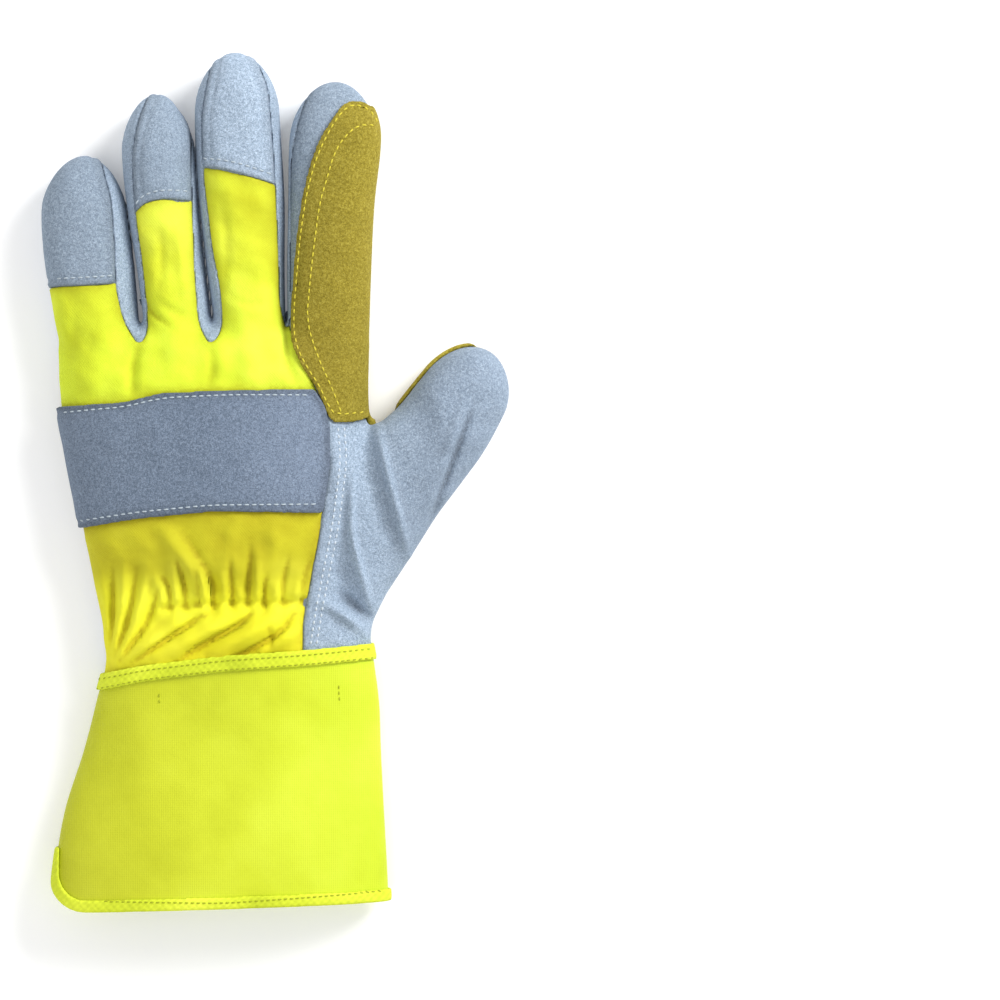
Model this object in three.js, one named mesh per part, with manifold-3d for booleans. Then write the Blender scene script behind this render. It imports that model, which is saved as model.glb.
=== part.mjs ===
import * as THREE from "three";
import { mergeVertices } from "three/addons/utils/BufferGeometryUtils.js";
import Module from "manifold-3d";

const wasm = await Module();
wasm.setup();

// Left-hand rigger glove lying palm down. Millimetres, +Y to the fingertips, +X to the thumb, +Z up.
// x is measured from the middle of the palm and y from the hem.

// Overall sizes.
const GLOVE_LENGTH = 282;
const PALM_WIDTH = 101.6;
const PALM_HEIGHT = 27;
const FINGER_HEIGHT = 20.5;
const THUMB_HEIGHT = 22;
const THUMB_HEADING = 60;
const SEAM_HEIGHT = 9;

// Thicknesses.
const HAND_WALL = 1.4;
const CUFF_WALL = 1.2;
const PATCH_LEATHER = 1.2;
const TAPE = 1;

// Fits between neighbouring pieces.
const CLEARANCE = 0.3;
const FINGER_SPACING = 0.8;

// Trim.
const BINDING_WIDTH = 5.6;
const HEM_WIDTH = 4.2;
const HEM_CORNER = 13;
const WELT_WIDTH = 1.8;

// Folds. FOLD_END is the share of a fold's size that is left at its ends.
const GATHER_COUNT = 9;
const GATHER_HEIGHT = 1.6;
const FOLD_END = 0.15;

// Mesh fineness of a rounded section, above and below the side seam.
const OUTSIDE_STEPS = { hand: { top: 12, bottom: 8 }, digit: { top: 8, bottom: 6 } };
const INSIDE_STEPS = { hand: { top: 10, bottom: 6 }, digit: { top: 6, bottom: 4 } };
const FOLD_SECTIONS = 3;
const FOLD_STEPS = 4;
const CORNER_STEPS = 8;
const WELD_DISTANCE = 0.0001;

// How square the sections are above and below the side seam.
const CROWN_POWER = 2.3;
const FLOOR_POWER = 4.5;

// How far a section's points are drawn towards its sides, where it curves most.
const SIDE_CROWDING = 0.55;

// Limits beyond the whole glove, in shares of PALM_WIDTH and GLOVE_LENGTH.
const BEYOND = { left: -1.5, right: 1.8, bottom: -0.4, top: 1.4 };

// Height of one layer laid over the hand, with its clearance.
const LAYER = PATCH_LEATHER + CLEARANCE;

// Palm and cuff, from the finger crotches to past the mouth.
// at: share of GLOVE_LENGTH. left, right: shares of PALM_WIDTH.
// rise: share of the height above the side seam. lift: layers between the leather and the surface.
const TRUNK = [
  { at: 0.69, left: -0.49, right: 0.485, rise: 0.3, lift: 2.5 },
  { at: 0.683, left: -0.497, right: 0.492, rise: 0.5, lift: 1.4 },
  { at: 0.667, left: -0.5, right: 0.497, rise: 0.64, lift: 1 },
  { at: 0.637, left: -0.5, right: 0.5, rise: 0.78, lift: 1 },
  { at: 0.585, left: -0.494, right: 0.5, rise: 0.92, lift: 1 },
  { at: 0.526, left: -0.468, right: 0.503, rise: 1, lift: 1 },
  { at: 0.462, left: -0.432, right: 0.507, rise: 1, lift: 1 },
  { at: 0.409, left: -0.403, right: 0.507, rise: 0.95, lift: 1 },
  { at: 0.363, left: -0.377, right: 0.505, rise: 0.8, lift: 1 },
  { at: 0.327, left: -0.357, right: 0.503, rise: 0.88, lift: 2 },
  { at: 0.29, left: -0.351, right: 0.52, rise: 0.82, lift: 2 },
  { at: 0.246, left: -0.38, right: 0.536, rise: 0.78, lift: 2 },
  { at: 0.187, left: -0.422, right: 0.542, rise: 0.76, lift: 2 },
  { at: 0.117, left: -0.484, right: 0.552, rise: 0.78, lift: 1 },
  { at: 0.053, left: -0.513, right: 0.562, rise: 0.8, lift: 1 },
  { at: -0.018, left: -0.532, right: 0.568, rise: 0.8, lift: 1 },
];

// Fingers, from the root inside the palm to the tip, in the same columns.
// floor: share of the depth below the side seam.
const LITTLE = [
  { at: 0.573, left: -0.448, right: -0.263, rise: 0.9, floor: 0.8 },
  { at: 0.667, left: -0.503, right: -0.24, rise: 1, floor: 0.85 },
  { at: 0.725, left: -0.531, right: -0.25, rise: 1, floor: 0.9 },
  { at: 0.784, left: -0.552, right: -0.266, rise: 1, floor: 1 },
  { at: 0.83, left: -0.555, right: -0.282, rise: 0.96, floor: 1 },
  { at: 0.86, left: -0.523, right: -0.302, rise: 0.82, floor: 0.95 },
  { at: 0.874, left: -0.477, right: -0.347, rise: 0.55, floor: 0.7 },
  { at: 0.88, left: -0.442, right: -0.377, rise: 0.3, floor: 0.45 },
];
const RING = [
  { at: 0.573, left: -0.208, right: -0.029, rise: 0.9, floor: 0.8 },
  { at: 0.667, left: -0.227, right: -0.003, rise: 1, floor: 0.85 },
  { at: 0.749, left: -0.253, right: -0.026, rise: 1, floor: 0.9 },
  { at: 0.813, left: -0.279, right: -0.049, rise: 1, floor: 1 },
  { at: 0.889, left: -0.299, right: -0.062, rise: 1, floor: 1 },
  { at: 0.918, left: -0.286, right: -0.071, rise: 0.92, floor: 1 },
  { at: 0.938, left: -0.253, right: -0.097, rise: 0.78, floor: 0.9 },
  { at: 0.949, left: -0.218, right: -0.136, rise: 0.5, floor: 0.65 },
  { at: 0.952, left: -0.205, right: -0.142, rise: 0.3, floor: 0.45 },
];
const MIDDLE = [
  { at: 0.573, left: 0.026, right: 0.214, rise: 0.9, floor: 0.8 },
  { at: 0.667, left: 0.003, right: 0.234, rise: 1, floor: 0.85 },
  { at: 0.749, left: -0.026, right: 0.229, rise: 1, floor: 0.9 },
  { at: 0.83, left: -0.049, right: 0.227, rise: 1, floor: 1 },
  { at: 0.912, left: -0.062, right: 0.216, rise: 1, floor: 1 },
  { at: 0.953, left: -0.057, right: 0.198, rise: 0.93, floor: 1 },
  { at: 0.98, left: -0.026, right: 0.172, rise: 0.78, floor: 0.9 },
  { at: 0.995, left: 0.026, right: 0.133, rise: 0.5, floor: 0.65 },
  { at: 1, left: 0.042, right: 0.108, rise: 0.3, floor: 0.45 },
];
const INDEX = [
  { at: 0.573, left: 0.266, right: 0.47, rise: 0.85, floor: 0.8 },
  { at: 0.667, left: 0.24, right: 0.492, rise: 0.95, floor: 0.83 },
  { at: 0.737, left: 0.235, right: 0.497, rise: 0.95, floor: 0.83 },
  { at: 0.83, left: 0.239, right: 0.512, rise: 0.95, floor: 0.83 },
  { at: 0.895, left: 0.244, right: 0.521, rise: 0.93, floor: 0.83 },
  { at: 0.93, left: 0.256, right: 0.517, rise: 0.85, floor: 0.8 },
  { at: 0.954, left: 0.295, right: 0.485, rise: 0.66, floor: 0.66 },
  { at: 0.966, left: 0.341, right: 0.448, rise: 0.45, floor: 0.5 },
  { at: 0.969, left: 0.362, right: 0.425, rise: 0.3, floor: 0.4 },
];

// Thumb, along its own line from THUMB_ROOT. at runs along that line and left, right across it.
const THUMB_ROOT = { x: 0.393, y: 0.363 };
const THUMB = [
  { at: 0.012, left: -0.084, right: 0.128, rise: 0.62, floor: 0.8 },
  { at: 0.058, left: -0.122, right: 0.137, rise: 0.8, floor: 0.83 },
  { at: 0.105, left: -0.15, right: 0.144, rise: 0.95, floor: 0.83 },
  { at: 0.152, left: -0.171, right: 0.149, rise: 1, floor: 0.83 },
  { at: 0.199, left: -0.163, right: 0.166, rise: 1, floor: 0.83 },
  { at: 0.234, left: -0.133, right: 0.175, rise: 0.97, floor: 0.83 },
  { at: 0.269, left: -0.117, right: 0.175, rise: 0.92, floor: 0.83 },
  { at: 0.298, left: -0.1, right: 0.166, rise: 0.84, floor: 0.83 },
  { at: 0.32, left: -0.085, right: 0.134, rise: 0.7, floor: 0.76 },
  { at: 0.334, left: -0.062, right: 0.094, rise: 0.48, floor: 0.6 },
  { at: 0.338, left: -0.04, right: 0.07, rise: 0.3, floor: 0.45 },
];

// Seam lines seen in plan. x: share of PALM_WIDTH from the palm's middle. y: share of GLOVE_LENGTH.
// Side strips between the fingers, down one finger, round the crotch and up the next.
const FOURCHETTES = {
  little_ring: [
    { x: -0.377, y: 0.889 }, { x: -0.328, y: 0.83 }, { x: -0.312, y: 0.727 }, { x: -0.289, y: 0.689 },
    { x: -0.263, y: 0.671 }, { x: -0.234, y: 0.655 }, { x: -0.208, y: 0.674 }, { x: -0.218, y: 0.727 },
    { x: -0.25, y: 0.819 }, { x: -0.26, y: 0.877 }, { x: -0.24, y: 0.919 }, { x: -0.201, y: 0.965 },
  ],
  ring_middle: [
    { x: -0.11, y: 0.965 }, { x: -0.075, y: 0.918 }, { x: -0.068, y: 0.828 }, { x: -0.058, y: 0.743 },
    { x: -0.045, y: 0.688 }, { x: -0.026, y: 0.669 }, { x: 0, y: 0.655 }, { x: 0.032, y: 0.678 },
    { x: 0.029, y: 0.713 }, { x: 0, y: 0.772 }, { x: -0.029, y: 0.854 }, { x: -0.036, y: 0.924 },
    { x: 0.006, y: 1.012 },
  ],
  middle_index: [
    { x: 0.115, y: 1.012 }, { x: 0.18, y: 0.959 }, { x: 0.198, y: 0.889 }, { x: 0.211, y: 0.772 },
    { x: 0.211, y: 0.71 }, { x: 0.22, y: 0.675 }, { x: 0.238, y: 0.655 }, { x: 0.262, y: 0.672 },
    { x: 0.26, y: 0.713 }, { x: 0.257, y: 0.784 }, { x: 0.26, y: 0.877 }, { x: 0.283, y: 0.918 },
    { x: 0.335, y: 0.985 },
  ],
};

// Lower edges of the fingertip caps, from the little finger's side to the index finger's side.
const CAP_EDGES = {
  little: [{ x: -0.63, y: 0.724 }, { x: -0.513, y: 0.727 }, { x: -0.3, y: 0.732 }],
  ring: [
    { x: -0.31, y: 0.805 }, { x: -0.253, y: 0.812 }, { x: -0.208, y: 0.826 }, { x: -0.159, y: 0.829 },
    { x: -0.052, y: 0.827 },
  ],
  middle: [{ x: -0.052, y: 0.866 }, { x: 0.058, y: 0.862 }, { x: 0.235, y: 0.844 }],
};

// Back of the index finger down to the thumb panel.
const INDEX_BACK = [
  { x: 0.244, y: BEYOND.top }, { x: 0.24, y: 0.69 }, { x: 0.331, y: 0.612 }, { x: 0.38, y: 0.572 },
  { x: 0.513, y: 0.573 }, { x: 0.669, y: 0.596 }, { x: 0.669, y: BEYOND.top },
];

// Back of the thumb and its panel down to the cuff.
const THUMB_BACK = [
  { x: 0.38, y: 0.572 }, { x: 0.377, y: 0.52 }, { x: 0.354, y: 0.45 }, { x: 0.315, y: 0.379 },
  { x: 0.295, y: 0.337 }, { x: 0.289, y: 0.269 }, { x: BEYOND.right, y: 0.246 },
  { x: BEYOND.right, y: 0.73 }, { x: 0.512, y: 0.73 }, { x: 0.502, y: 0.573 },
];

// Fronts of the ring and middle fingers down to the curved seam, and that seam.
const FRONT_SEAM = [
  { x: -0.245, y: 0.713 }, { x: -0.211, y: 0.701 }, { x: -0.205, y: 0.68 }, { x: -0.169, y: 0.668 },
  { x: -0.107, y: 0.67 }, { x: 0.003, y: 0.675 }, { x: 0.078, y: 0.671 }, { x: 0.175, y: 0.667 },
  { x: 0.218, y: 0.674 }, { x: 0.238, y: 0.7 },
];
const FRONT_TOP = [
  { x: 0.238, y: BEYOND.top }, { x: -0.31, y: BEYOND.top }, { x: -0.31, y: 0.9 }, { x: -0.29, y: 0.84 },
  { x: -0.267, y: 0.784 },
];

// The welt in that seam stops short of the finger gaps at both ends.
const WELT_REACH = { left: -0.225, right: 0.232, top: 0.692 };

// Strap across the back.
const STRAP = [
  { x: -0.6, y: 0.587 }, { x: -0.494, y: 0.588 }, { x: -0.282, y: 0.593 }, { x: -0.159, y: 0.604 },
  { x: 0.315, y: 0.607 }, { x: 0.362, y: 0.566 }, { x: 0.368, y: 0.52 }, { x: 0.347, y: 0.467 },
  { x: 0, y: 0.465 }, { x: -0.237, y: 0.457 }, { x: -0.422, y: 0.447 }, { x: -0.6, y: 0.442 },
];

// Mustard leather: the part wrapped over the back of the index finger, and the part on the palm side.
const INDEX_WRAP = [
  { x: 0.56, y: 0.936 }, { x: 0.542, y: 0.937 }, { x: 0.468, y: 0.946 }, { x: 0.419, y: 0.94 },
  { x: 0.357, y: 0.906 }, { x: 0.302, y: 0.853 }, { x: 0.269, y: 0.781 }, { x: 0.253, y: 0.696 },
  { x: 0.253, y: 0.662 }, { x: 0.292, y: 0.632 }, { x: 0.372, y: 0.584 }, { x: 0.39, y: 0.575 },
  { x: 0.5, y: 0.578 }, { x: 0.56, y: 0.58 },
];
const PALM_PATCH = [
  { x: -0.484, y: 0.651 }, { x: -0.146, y: 0.655 }, { x: 0.078, y: 0.66 }, { x: 0.279, y: 0.66 },
  { x: 0.299, y: 0.688 }, { x: 0.299, y: 0.71 }, { x: 0.258, y: 0.737 }, { x: 0.258, y: 0.877 },
  { x: 0.28, y: 0.915 }, { x: 0.318, y: 0.94 }, { x: 0.393, y: 0.951 }, { x: 0.468, y: 0.946 },
  { x: 0.56, y: 0.936 }, { x: 0.62, y: 0.78 }, { x: 0.78, y: 0.71 }, { x: 0.94, y: 0.66 },
  { x: 0.942, y: 0.604 }, { x: 0.89, y: 0.565 },
  { x: 0.79, y: 0.508 }, { x: 0.69, y: 0.454 }, { x: 0.6, y: 0.405 }, { x: 0.512, y: 0.37 },
  { x: 0.412, y: 0.36 }, { x: 0.263, y: 0.355 }, { x: -0.032, y: 0.352 }, { x: -0.36, y: 0.352 },
  { x: -0.393, y: 0.427 }, { x: -0.423, y: 0.48 }, { x: -0.453, y: 0.532 }, { x: -0.478, y: 0.585 },
];

// Patch over the pulse, with its bulging upper edge.
const VEIN_PATCH = [
  { x: -0.325, y: 0.296 }, { x: -0.208, y: 0.312 }, { x: -0.094, y: 0.326 }, { x: 0.026, y: 0.329 },
  { x: 0.084, y: 0.324 }, { x: 0.133, y: 0.31 }, { x: 0.279, y: 0.296 }, { x: 0.276, y: 0.257 },
  { x: 0.247, y: 0.218 }, { x: 0.208, y: 0.202 }, { x: 0.026, y: 0.196 }, { x: -0.175, y: 0.191 },
  { x: -0.289, y: 0.2 }, { x: -0.331, y: 0.222 },
];

// Seam between the hand and the cuff, left to right.
const WRIST_SEAM = [
  { x: -0.6, y: 0.262 }, { x: -0.357, y: 0.267 }, { x: -0.221, y: 0.278 }, { x: 0.039, y: 0.29 },
  { x: 0.292, y: 0.296 }, { x: 1.3, y: 0.325 },
];

// The cuff's mouth: its lower edge at the rounded corner and at the thumb's side.
const MOUTH = { left: -0.545, leftY: 0, right: 0.62, rightY: 0.013, hemTop: 0.075 };

// Gathers across the elastic line: its ends, and how far each gather reaches past it.
// lean: how far the outermost gathers tilt. short: share of the reach that every other gather has.
const GATHER_LINE = { from: { x: -0.13, y: 0.36 }, to: { x: 0.27, y: 0.362 } };
const GATHER = { above: 0.05, below: 0.04, lean: 0.05, short: 0.7, width: 0.02 };

// Larger folds and ridges. width: share of PALM_WIDTH. height: multiple of GATHER_HEIGHT.
const FOLDS = [
  { x1: -0.33, y1: 0.44, x2: -0.28, y2: 0.33, width: 0.045, height: 1.5 },
  { x1: -0.22, y1: 0.44, x2: -0.19, y2: 0.35, width: 0.04, height: 1.3 },
  { x1: -0.1, y1: 0.335, x2: -0.31, y2: 0.295, width: 0.04, height: 1.6 },
  { x1: 0.02, y1: 0.335, x2: -0.18, y2: 0.3, width: 0.036, height: 1.6 },
  { x1: 0.14, y1: 0.34, x2: -0.02, y2: 0.308, width: 0.034, height: 1.5 },
  { x1: 0.26, y1: 0.338, x2: 0.12, y2: 0.315, width: 0.03, height: 1.3 },
  { x1: 0.54, y1: 0.545, x2: 0.63, y2: 0.435, width: 0.035, height: 1.5 },
  { x1: 0.45, y1: 0.475, x2: 0.47, y2: 0.39, width: 0.04, height: 1.5 },
];

const width = (share) => share * PALM_WIDTH;
const length = (share) => share * GLOVE_LENGTH;

// Closed body from vertex rings and one centre point at each end.
function bodyFromRings(rings) {
  const around = rings[0].length;
  const points = rings.flat();
  const first = points.length;
  points.push(centreOf(rings[0]), centreOf(rings[rings.length - 1]));
  const faces = [];
  for (let r = 0; r + 1 < rings.length; r += 1) {
    for (let k = 0; k < around; k += 1) {
      const a = r * around + k;
      const b = r * around + ((k + 1) % around);
      faces.push([a, b, b + around], [a, b + around, a + around]);
    }
  }
  const last = (rings.length - 1) * around;
  for (let k = 0; k < around; k += 1) {
    const next = (k + 1) % around;
    faces.push([first, next, k], [first + 1, last + k, last + next]);
  }
  return manifoldFrom(points, faces);
}

function centreOf(ring) {
  const sum = ring.reduce((s, p) => [s[0] + p[0], s[1] + p[1], s[2] + p[2]], [0, 0, 0]);
  return sum.map((v) => v / ring.length);
}

// Six times the enclosed volume, negative when the faces point inwards.
function signedVolume(points, faces) {
  let sum = 0;
  for (const [i, j, k] of faces) {
    const [a, b, c] = [points[i], points[j], points[k]];
    sum += a[0] * (b[1] * c[2] - b[2] * c[1]);
    sum += a[1] * (b[2] * c[0] - b[0] * c[2]);
    sum += a[2] * (b[0] * c[1] - b[1] * c[0]);
  }
  return sum;
}

function manifoldFrom(points, faces) {
  const outward = signedVolume(points, faces) > 0;
  const turned = faces.map(([a, b, c]) => (outward ? [a, b, c] : [a, c, b]));
  const mesh = new wasm.Mesh({
    numProp: 3,
    vertProperties: new Float32Array(points.flat()),
    triVerts: new Uint32Array(turned.flat()),
  });
  return new wasm.Manifold(mesh);
}

function manifoldFromGeometry(geometry) {
  const bare = geometry.clone();
  bare.deleteAttribute("normal");
  bare.deleteAttribute("uv");
  const merged = mergeVertices(bare, WELD_DISTANCE);
  const flat = Array.from(merged.attributes.position.array);
  const points = [];
  for (let i = 0; i < flat.length; i += 3) points.push(flat.slice(i, i + 3));
  const index = Array.from(merged.index.array);
  const faces = [];
  for (let i = 0; i < index.length; i += 3) faces.push(index.slice(i, i + 3));
  return manifoldFrom(points, faces);
}

// A row's columns in millimetres. grow moves the surface out, or in where it is negative.
function section(row, height, grow) {
  const floor = row.lift === undefined ? SEAM_HEIGHT * (1 - row.floor) : row.lift * LAYER;
  return {
    at: length(row.at),
    left: width(row.left) - grow,
    right: width(row.right) + grow,
    top: SEAM_HEIGHT + (height - SEAM_HEIGHT) * row.rise + grow,
    bottom: floor - grow,
  };
}

// Share of the full height that a section keeps at a share s of its half width.
const crown = (s, power) => (1 - Math.abs(s) ** power) ** (1 / power);

const spread = (u) => (1 - SIDE_CROWDING) * u + SIDE_CROWDING * Math.sin((Math.PI / 2) * u);

function ringOf(s, steps, place) {
  const middle = (s.left + s.right) / 2;
  const half = (s.right - s.left) / 2;
  const ring = [];
  for (let k = 0; k < steps.top; k += 1) {
    const share = spread((2 * k) / steps.top - 1);
    const z = SEAM_HEIGHT + (s.top - SEAM_HEIGHT) * crown(share, CROWN_POWER);
    ring.push(place(s.at, middle + half * share, z));
  }
  for (let k = 0; k < steps.bottom; k += 1) {
    const share = -spread((2 * k) / steps.bottom - 1);
    const z = SEAM_HEIGHT - (SEAM_HEIGHT - s.bottom) * crown(share, FLOOR_POWER);
    ring.push(place(s.at, middle + half * share, z));
  }
  return ring;
}

// Places a point given along and across a straight line that starts at root.
function placer(root, heading) {
  const turn = THREE.MathUtils.degToRad(heading);
  const along = { x: Math.cos(turn), y: Math.sin(turn) };
  return (at, across, z) => [
    root.x + along.x * at + along.y * across,
    root.y + along.y * at - along.x * across,
    z,
  ];
}

const upright = placer({ x: 0, y: 0 }, 90);
const thumbward = placer({ x: width(THUMB_ROOT.x), y: length(THUMB_ROOT.y) }, THUMB_HEADING);

// Moves the closed end of a form by the same distance as its sides.
function withEnds(sections, grow) {
  const first = sections[0].at;
  const last = sections[sections.length - 1].at;
  const way = Math.sign(last - first);
  return sections.map((s) => {
    const share = (s.at - first) / (last - first);
    return { ...s, at: s.at + way * grow * share };
  });
}

const stepsFor = (grow) => (grow < 0 ? INSIDE_STEPS : OUTSIDE_STEPS);

function trunk(grow) {
  const steps = stepsFor(grow).hand;
  const sections = TRUNK.map((row) => section(row, PALM_HEIGHT, grow)).reverse();
  return bodyFromRings(withEnds(sections, grow).map((s) => ringOf(s, steps, upright)));
}

function finger(rows, grow) {
  const half = FINGER_SPACING / 2;
  const steps = stepsFor(grow).digit;
  const sections = rows.map((row) => section(row, FINGER_HEIGHT, grow - half));
  return bodyFromRings(withEnds(sections, grow).map((s) => ringOf(s, steps, upright)));
}

function thumb(grow) {
  const steps = stepsFor(grow).digit;
  const sections = THUMB.map((row) => section(row, THUMB_HEIGHT, grow));
  return bodyFromRings(withEnds(sections, grow).map((s) => ringOf(s, steps, thumbward)));
}

function hand(grow) {
  const fingers = [LITTLE, RING, MIDDLE, INDEX].map((rows) => finger(rows, grow));
  return fingers.reduce((form, one) => form.add(one), trunk(grow).add(thumb(grow)));
}

// Row of the trunk at a share of the glove's length.
function trunkRowAt(share) {
  const below = TRUNK.findIndex((row) => row.at <= share);
  const from = TRUNK[Math.max(below - 1, 0)];
  const to = TRUNK[below];
  const t = (from.at - share) / (from.at - to.at);
  const mix = (key) => from[key] + (to[key] - from[key]) * t;
  return { at: share, left: mix("left"), right: mix("right"), rise: mix("rise"), lift: mix("lift") };
}

// Height of the hand's upper surface at a point given in shares.
function backHeight(x, y) {
  const s = section(trunkRowAt(y), PALM_HEIGHT, 0);
  const share = (width(x) - (s.left + s.right) / 2) / ((s.right - s.left) / 2);
  const clipped = Math.min(Math.abs(share), 1);
  return SEAM_HEIGHT + (s.top - SEAM_HEIGHT) * crown(clipped, CROWN_POWER);
}

// One fold: a ridge that rises from the surface and fades out at both ends.
function fold(row, grow) {
  const start = new THREE.Vector2(width(row.x1), length(row.y1));
  const end = new THREE.Vector2(width(row.x2), length(row.y2));
  const side = end.clone().sub(start).normalize().rotateAround(new THREE.Vector2(), Math.PI / 2);
  const rings = [];
  for (let k = 0; k <= FOLD_SECTIONS; k += 1) {
    const share = k / FOLD_SECTIONS;
    const swell = FOLD_END + (1 - FOLD_END) * Math.sin(Math.PI * share);
    const half = width(row.width) * swell + grow;
    const rise = GATHER_HEIGHT * row.height * swell + grow;
    const spine = start.clone().lerp(end, share);
    const x = row.x1 + (row.x2 - row.x1) * share;
    const y = row.y1 + (row.y2 - row.y1) * share;
    const base = backHeight(x, y) - HAND_WALL / 2;
    const ring = [];
    for (let n = 0; n <= FOLD_STEPS; n += 1) {
      const turn = (Math.PI * n) / FOLD_STEPS;
      const out = half * Math.cos(turn);
      const up = (rise + HAND_WALL / 2) * Math.sin(turn);
      ring.push([spine.x + side.x * out, spine.y + side.y * out, base + up]);
    }
    ring.push([spine.x, spine.y, base - HAND_WALL - grow]);
    rings.push(ring);
  }
  return bodyFromRings(rings);
}

// Gathers stand side by side across the elastic line, each one leaning a little outwards.
function gatherRows() {
  const { from, to } = GATHER_LINE;
  const rows = [];
  for (let k = 0; k < GATHER_COUNT; k += 1) {
    const share = k / (GATHER_COUNT - 1);
    const x = from.x + (to.x - from.x) * share;
    const y = from.y + (to.y - from.y) * share;
    const lean = GATHER.lean * (share - 0.5);
    const reach = k % 2 === 0 ? 1 : GATHER.short;
    const high = { x1: x + lean, y1: y + GATHER.above * reach };
    const low = { x2: x - lean, y2: y - GATHER.below * reach };
    rows.push({ ...high, ...low, width: GATHER.width, height: 1 });
  }
  return rows;
}

function folds(grow) {
  return gatherRows().concat(FOLDS).map((row) => fold(row, grow)).reduce((all, one) => all.add(one));
}

// Area of a closed outline, positive when it runs anticlockwise.
function signedArea(points) {
  return points.reduce((sum, p, k) => {
    const q = points[(k + 1) % points.length];
    return sum + (p.x * q.y - q.x * p.y) / 2;
  }, 0);
}

// Moves each side of a closed outline inwards by a distance.
function inset(points, distance) {
  const ring = signedArea(points) > 0 ? points : points.slice().reverse();
  const normal = (p, q) => {
    const run = Math.hypot(q.x - p.x, q.y - p.y);
    return { x: -(q.y - p.y) / run, y: (q.x - p.x) / run };
  };
  return ring.map((p, k) => {
    const before = normal(ring[(k + ring.length - 1) % ring.length], p);
    const after = normal(p, ring[(k + 1) % ring.length]);
    const reach = distance / (1 + before.x * after.x + before.y * after.y);
    return { x: p.x + (before.x + after.x) * reach, y: p.y + (before.y + after.y) * reach };
  });
}

const inPlan = (outline) => outline.map((p) => ({ x: width(p.x), y: length(p.y) }));

const LOW = -2 * PALM_HEIGHT;
const HIGH = 3 * PALM_HEIGHT;

// Upright prism over an outline in millimetres, drawn in by a distance.
function prism(points, distance = 0, from = LOW, to = HIGH) {
  const ring = inset(points, distance);
  const shape = new THREE.Shape(ring.map((p) => new THREE.Vector2(p.x, p.y)));
  const geometry = new THREE.ExtrudeGeometry(shape, { depth: to - from, bevelEnabled: false, steps: 1 });
  geometry.translate(0, 0, from);
  return manifoldFromGeometry(geometry);
}

const halfGap = CLEARANCE / 2;

// Takes a region out of a wall and leaves a gap round it.
function take(wall, outline) {
  const points = inPlan(outline);
  return {
    piece: wall.intersect(prism(points, halfGap)),
    rest: wall.subtract(prism(points, -halfGap)),
  };
}

// Everything on the hand's side or the cuff's side of the wrist seam, moved by a distance along y.
function wristSide(towards, distance) {
  const far = length(towards === "hand" ? BEYOND.top : BEYOND.bottom);
  const line = inPlan(WRIST_SEAM).map((p) => ({ x: p.x, y: p.y + distance }));
  const ends = [{ x: line[line.length - 1].x, y: far }, { x: line[0].x, y: far }];
  return prism(line.concat(ends));
}

function planBox({ left, right, bottom, top }) {
  const corners = [[left, bottom], [right, bottom], [right, top], [left, top]];
  return inPlan(corners.map(([x, y]) => ({ x, y })));
}

const slab = (from, to) => prism(planBox(BEYOND), 0, from, to);

// The cuff's outline above its mouth, drawn in from the edge, with the corner rounded.
function aboveMouth(distance) {
  const left = width(MOUTH.left) + distance;
  const bottom = length(MOUTH.leftY) + distance;
  const radius = HEM_CORNER - distance;
  const centre = { x: left + radius, y: bottom + radius };
  const points = [];
  for (let k = 0; k <= CORNER_STEPS; k += 1) {
    const turn = Math.PI + (Math.PI / 2) * (k / CORNER_STEPS);
    points.push({ x: centre.x + radius * Math.cos(turn), y: centre.y + radius * Math.sin(turn) });
  }
  points.push({ x: width(MOUTH.right), y: length(MOUTH.rightY) + distance });
  points.push({ x: width(MOUTH.right), y: length(BEYOND.top) });
  points.push({ x: width(BEYOND.left), y: length(BEYOND.top) });
  points.push({ x: width(BEYOND.left), y: length(MOUTH.hemTop) });
  points.push({ x: left, y: length(MOUTH.hemTop) });
  return prism(points);
}

const leatherGrey = () => ({ color: 0x8d9cab, roughness: 0.95, metalness: 0 });
const leatherMustard = () => ({ color: 0xa88f2c, roughness: 0.95, metalness: 0 });
const clothYellow = () => ({ color: 0xc9c928, roughness: 0.85, metalness: 0 });
const canvasLime = () => ({ color: 0xd9ea2c, roughness: 0.6, metalness: 0 });
const tapeLime = () => ({ color: 0xc4d52c, roughness: 0.75, metalness: 0 });

function meshOf(name, solid, material) {
  const { vertProperties, triVerts, numProp } = solid.getMesh();
  const positions = [];
  for (let i = 0; i < vertProperties.length; i += numProp) {
    positions.push(vertProperties[i], vertProperties[i + 1], vertProperties[i + 2]);
  }
  const geometry = new THREE.BufferGeometry();
  geometry.setAttribute("position", new THREE.Float32BufferAttribute(positions, 3));
  geometry.setIndex(Array.from(triVerts));
  geometry.computeVertexNormals();
  const mesh = new THREE.Mesh(geometry, new THREE.MeshStandardMaterial(material));
  mesh.name = name;
  return mesh;
}

// A skin laid over the hand, clear of the wall and its folds.
function overlay(thickness) {
  return hand(CLEARANCE + thickness).subtract(hand(CLEARANCE)).subtract(folds(CLEARANCE));
}

// The hand's wall above the side seam: fabric back, finger caps, side strips, index and thumb backs.
function backPieces(wall) {
  const upper = wall.intersect(slab(SEAM_HEIGHT + halfGap, HIGH));
  const pieces = {};
  let rest = upper;
  const cut = (name, outline) => {
    const taken = take(rest, outline);
    pieces[name] = taken.piece;
    rest = taken.rest;
  };
  for (const [name, outline] of Object.entries(FOURCHETTES)) cut(`fourchette_${name}`, outline);
  for (const [name, edge] of Object.entries(CAP_EDGES)) {
    const ends = [{ x: edge[edge.length - 1].x, y: BEYOND.top }, { x: edge[0].x, y: BEYOND.top }];
    cut(`cap_${name}`, edge.concat(ends));
  }
  cut("thumb_back", THUMB_BACK);
  cut("index_back", INDEX_BACK);
  pieces.back_fabric = rest;
  return pieces;
}

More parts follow.
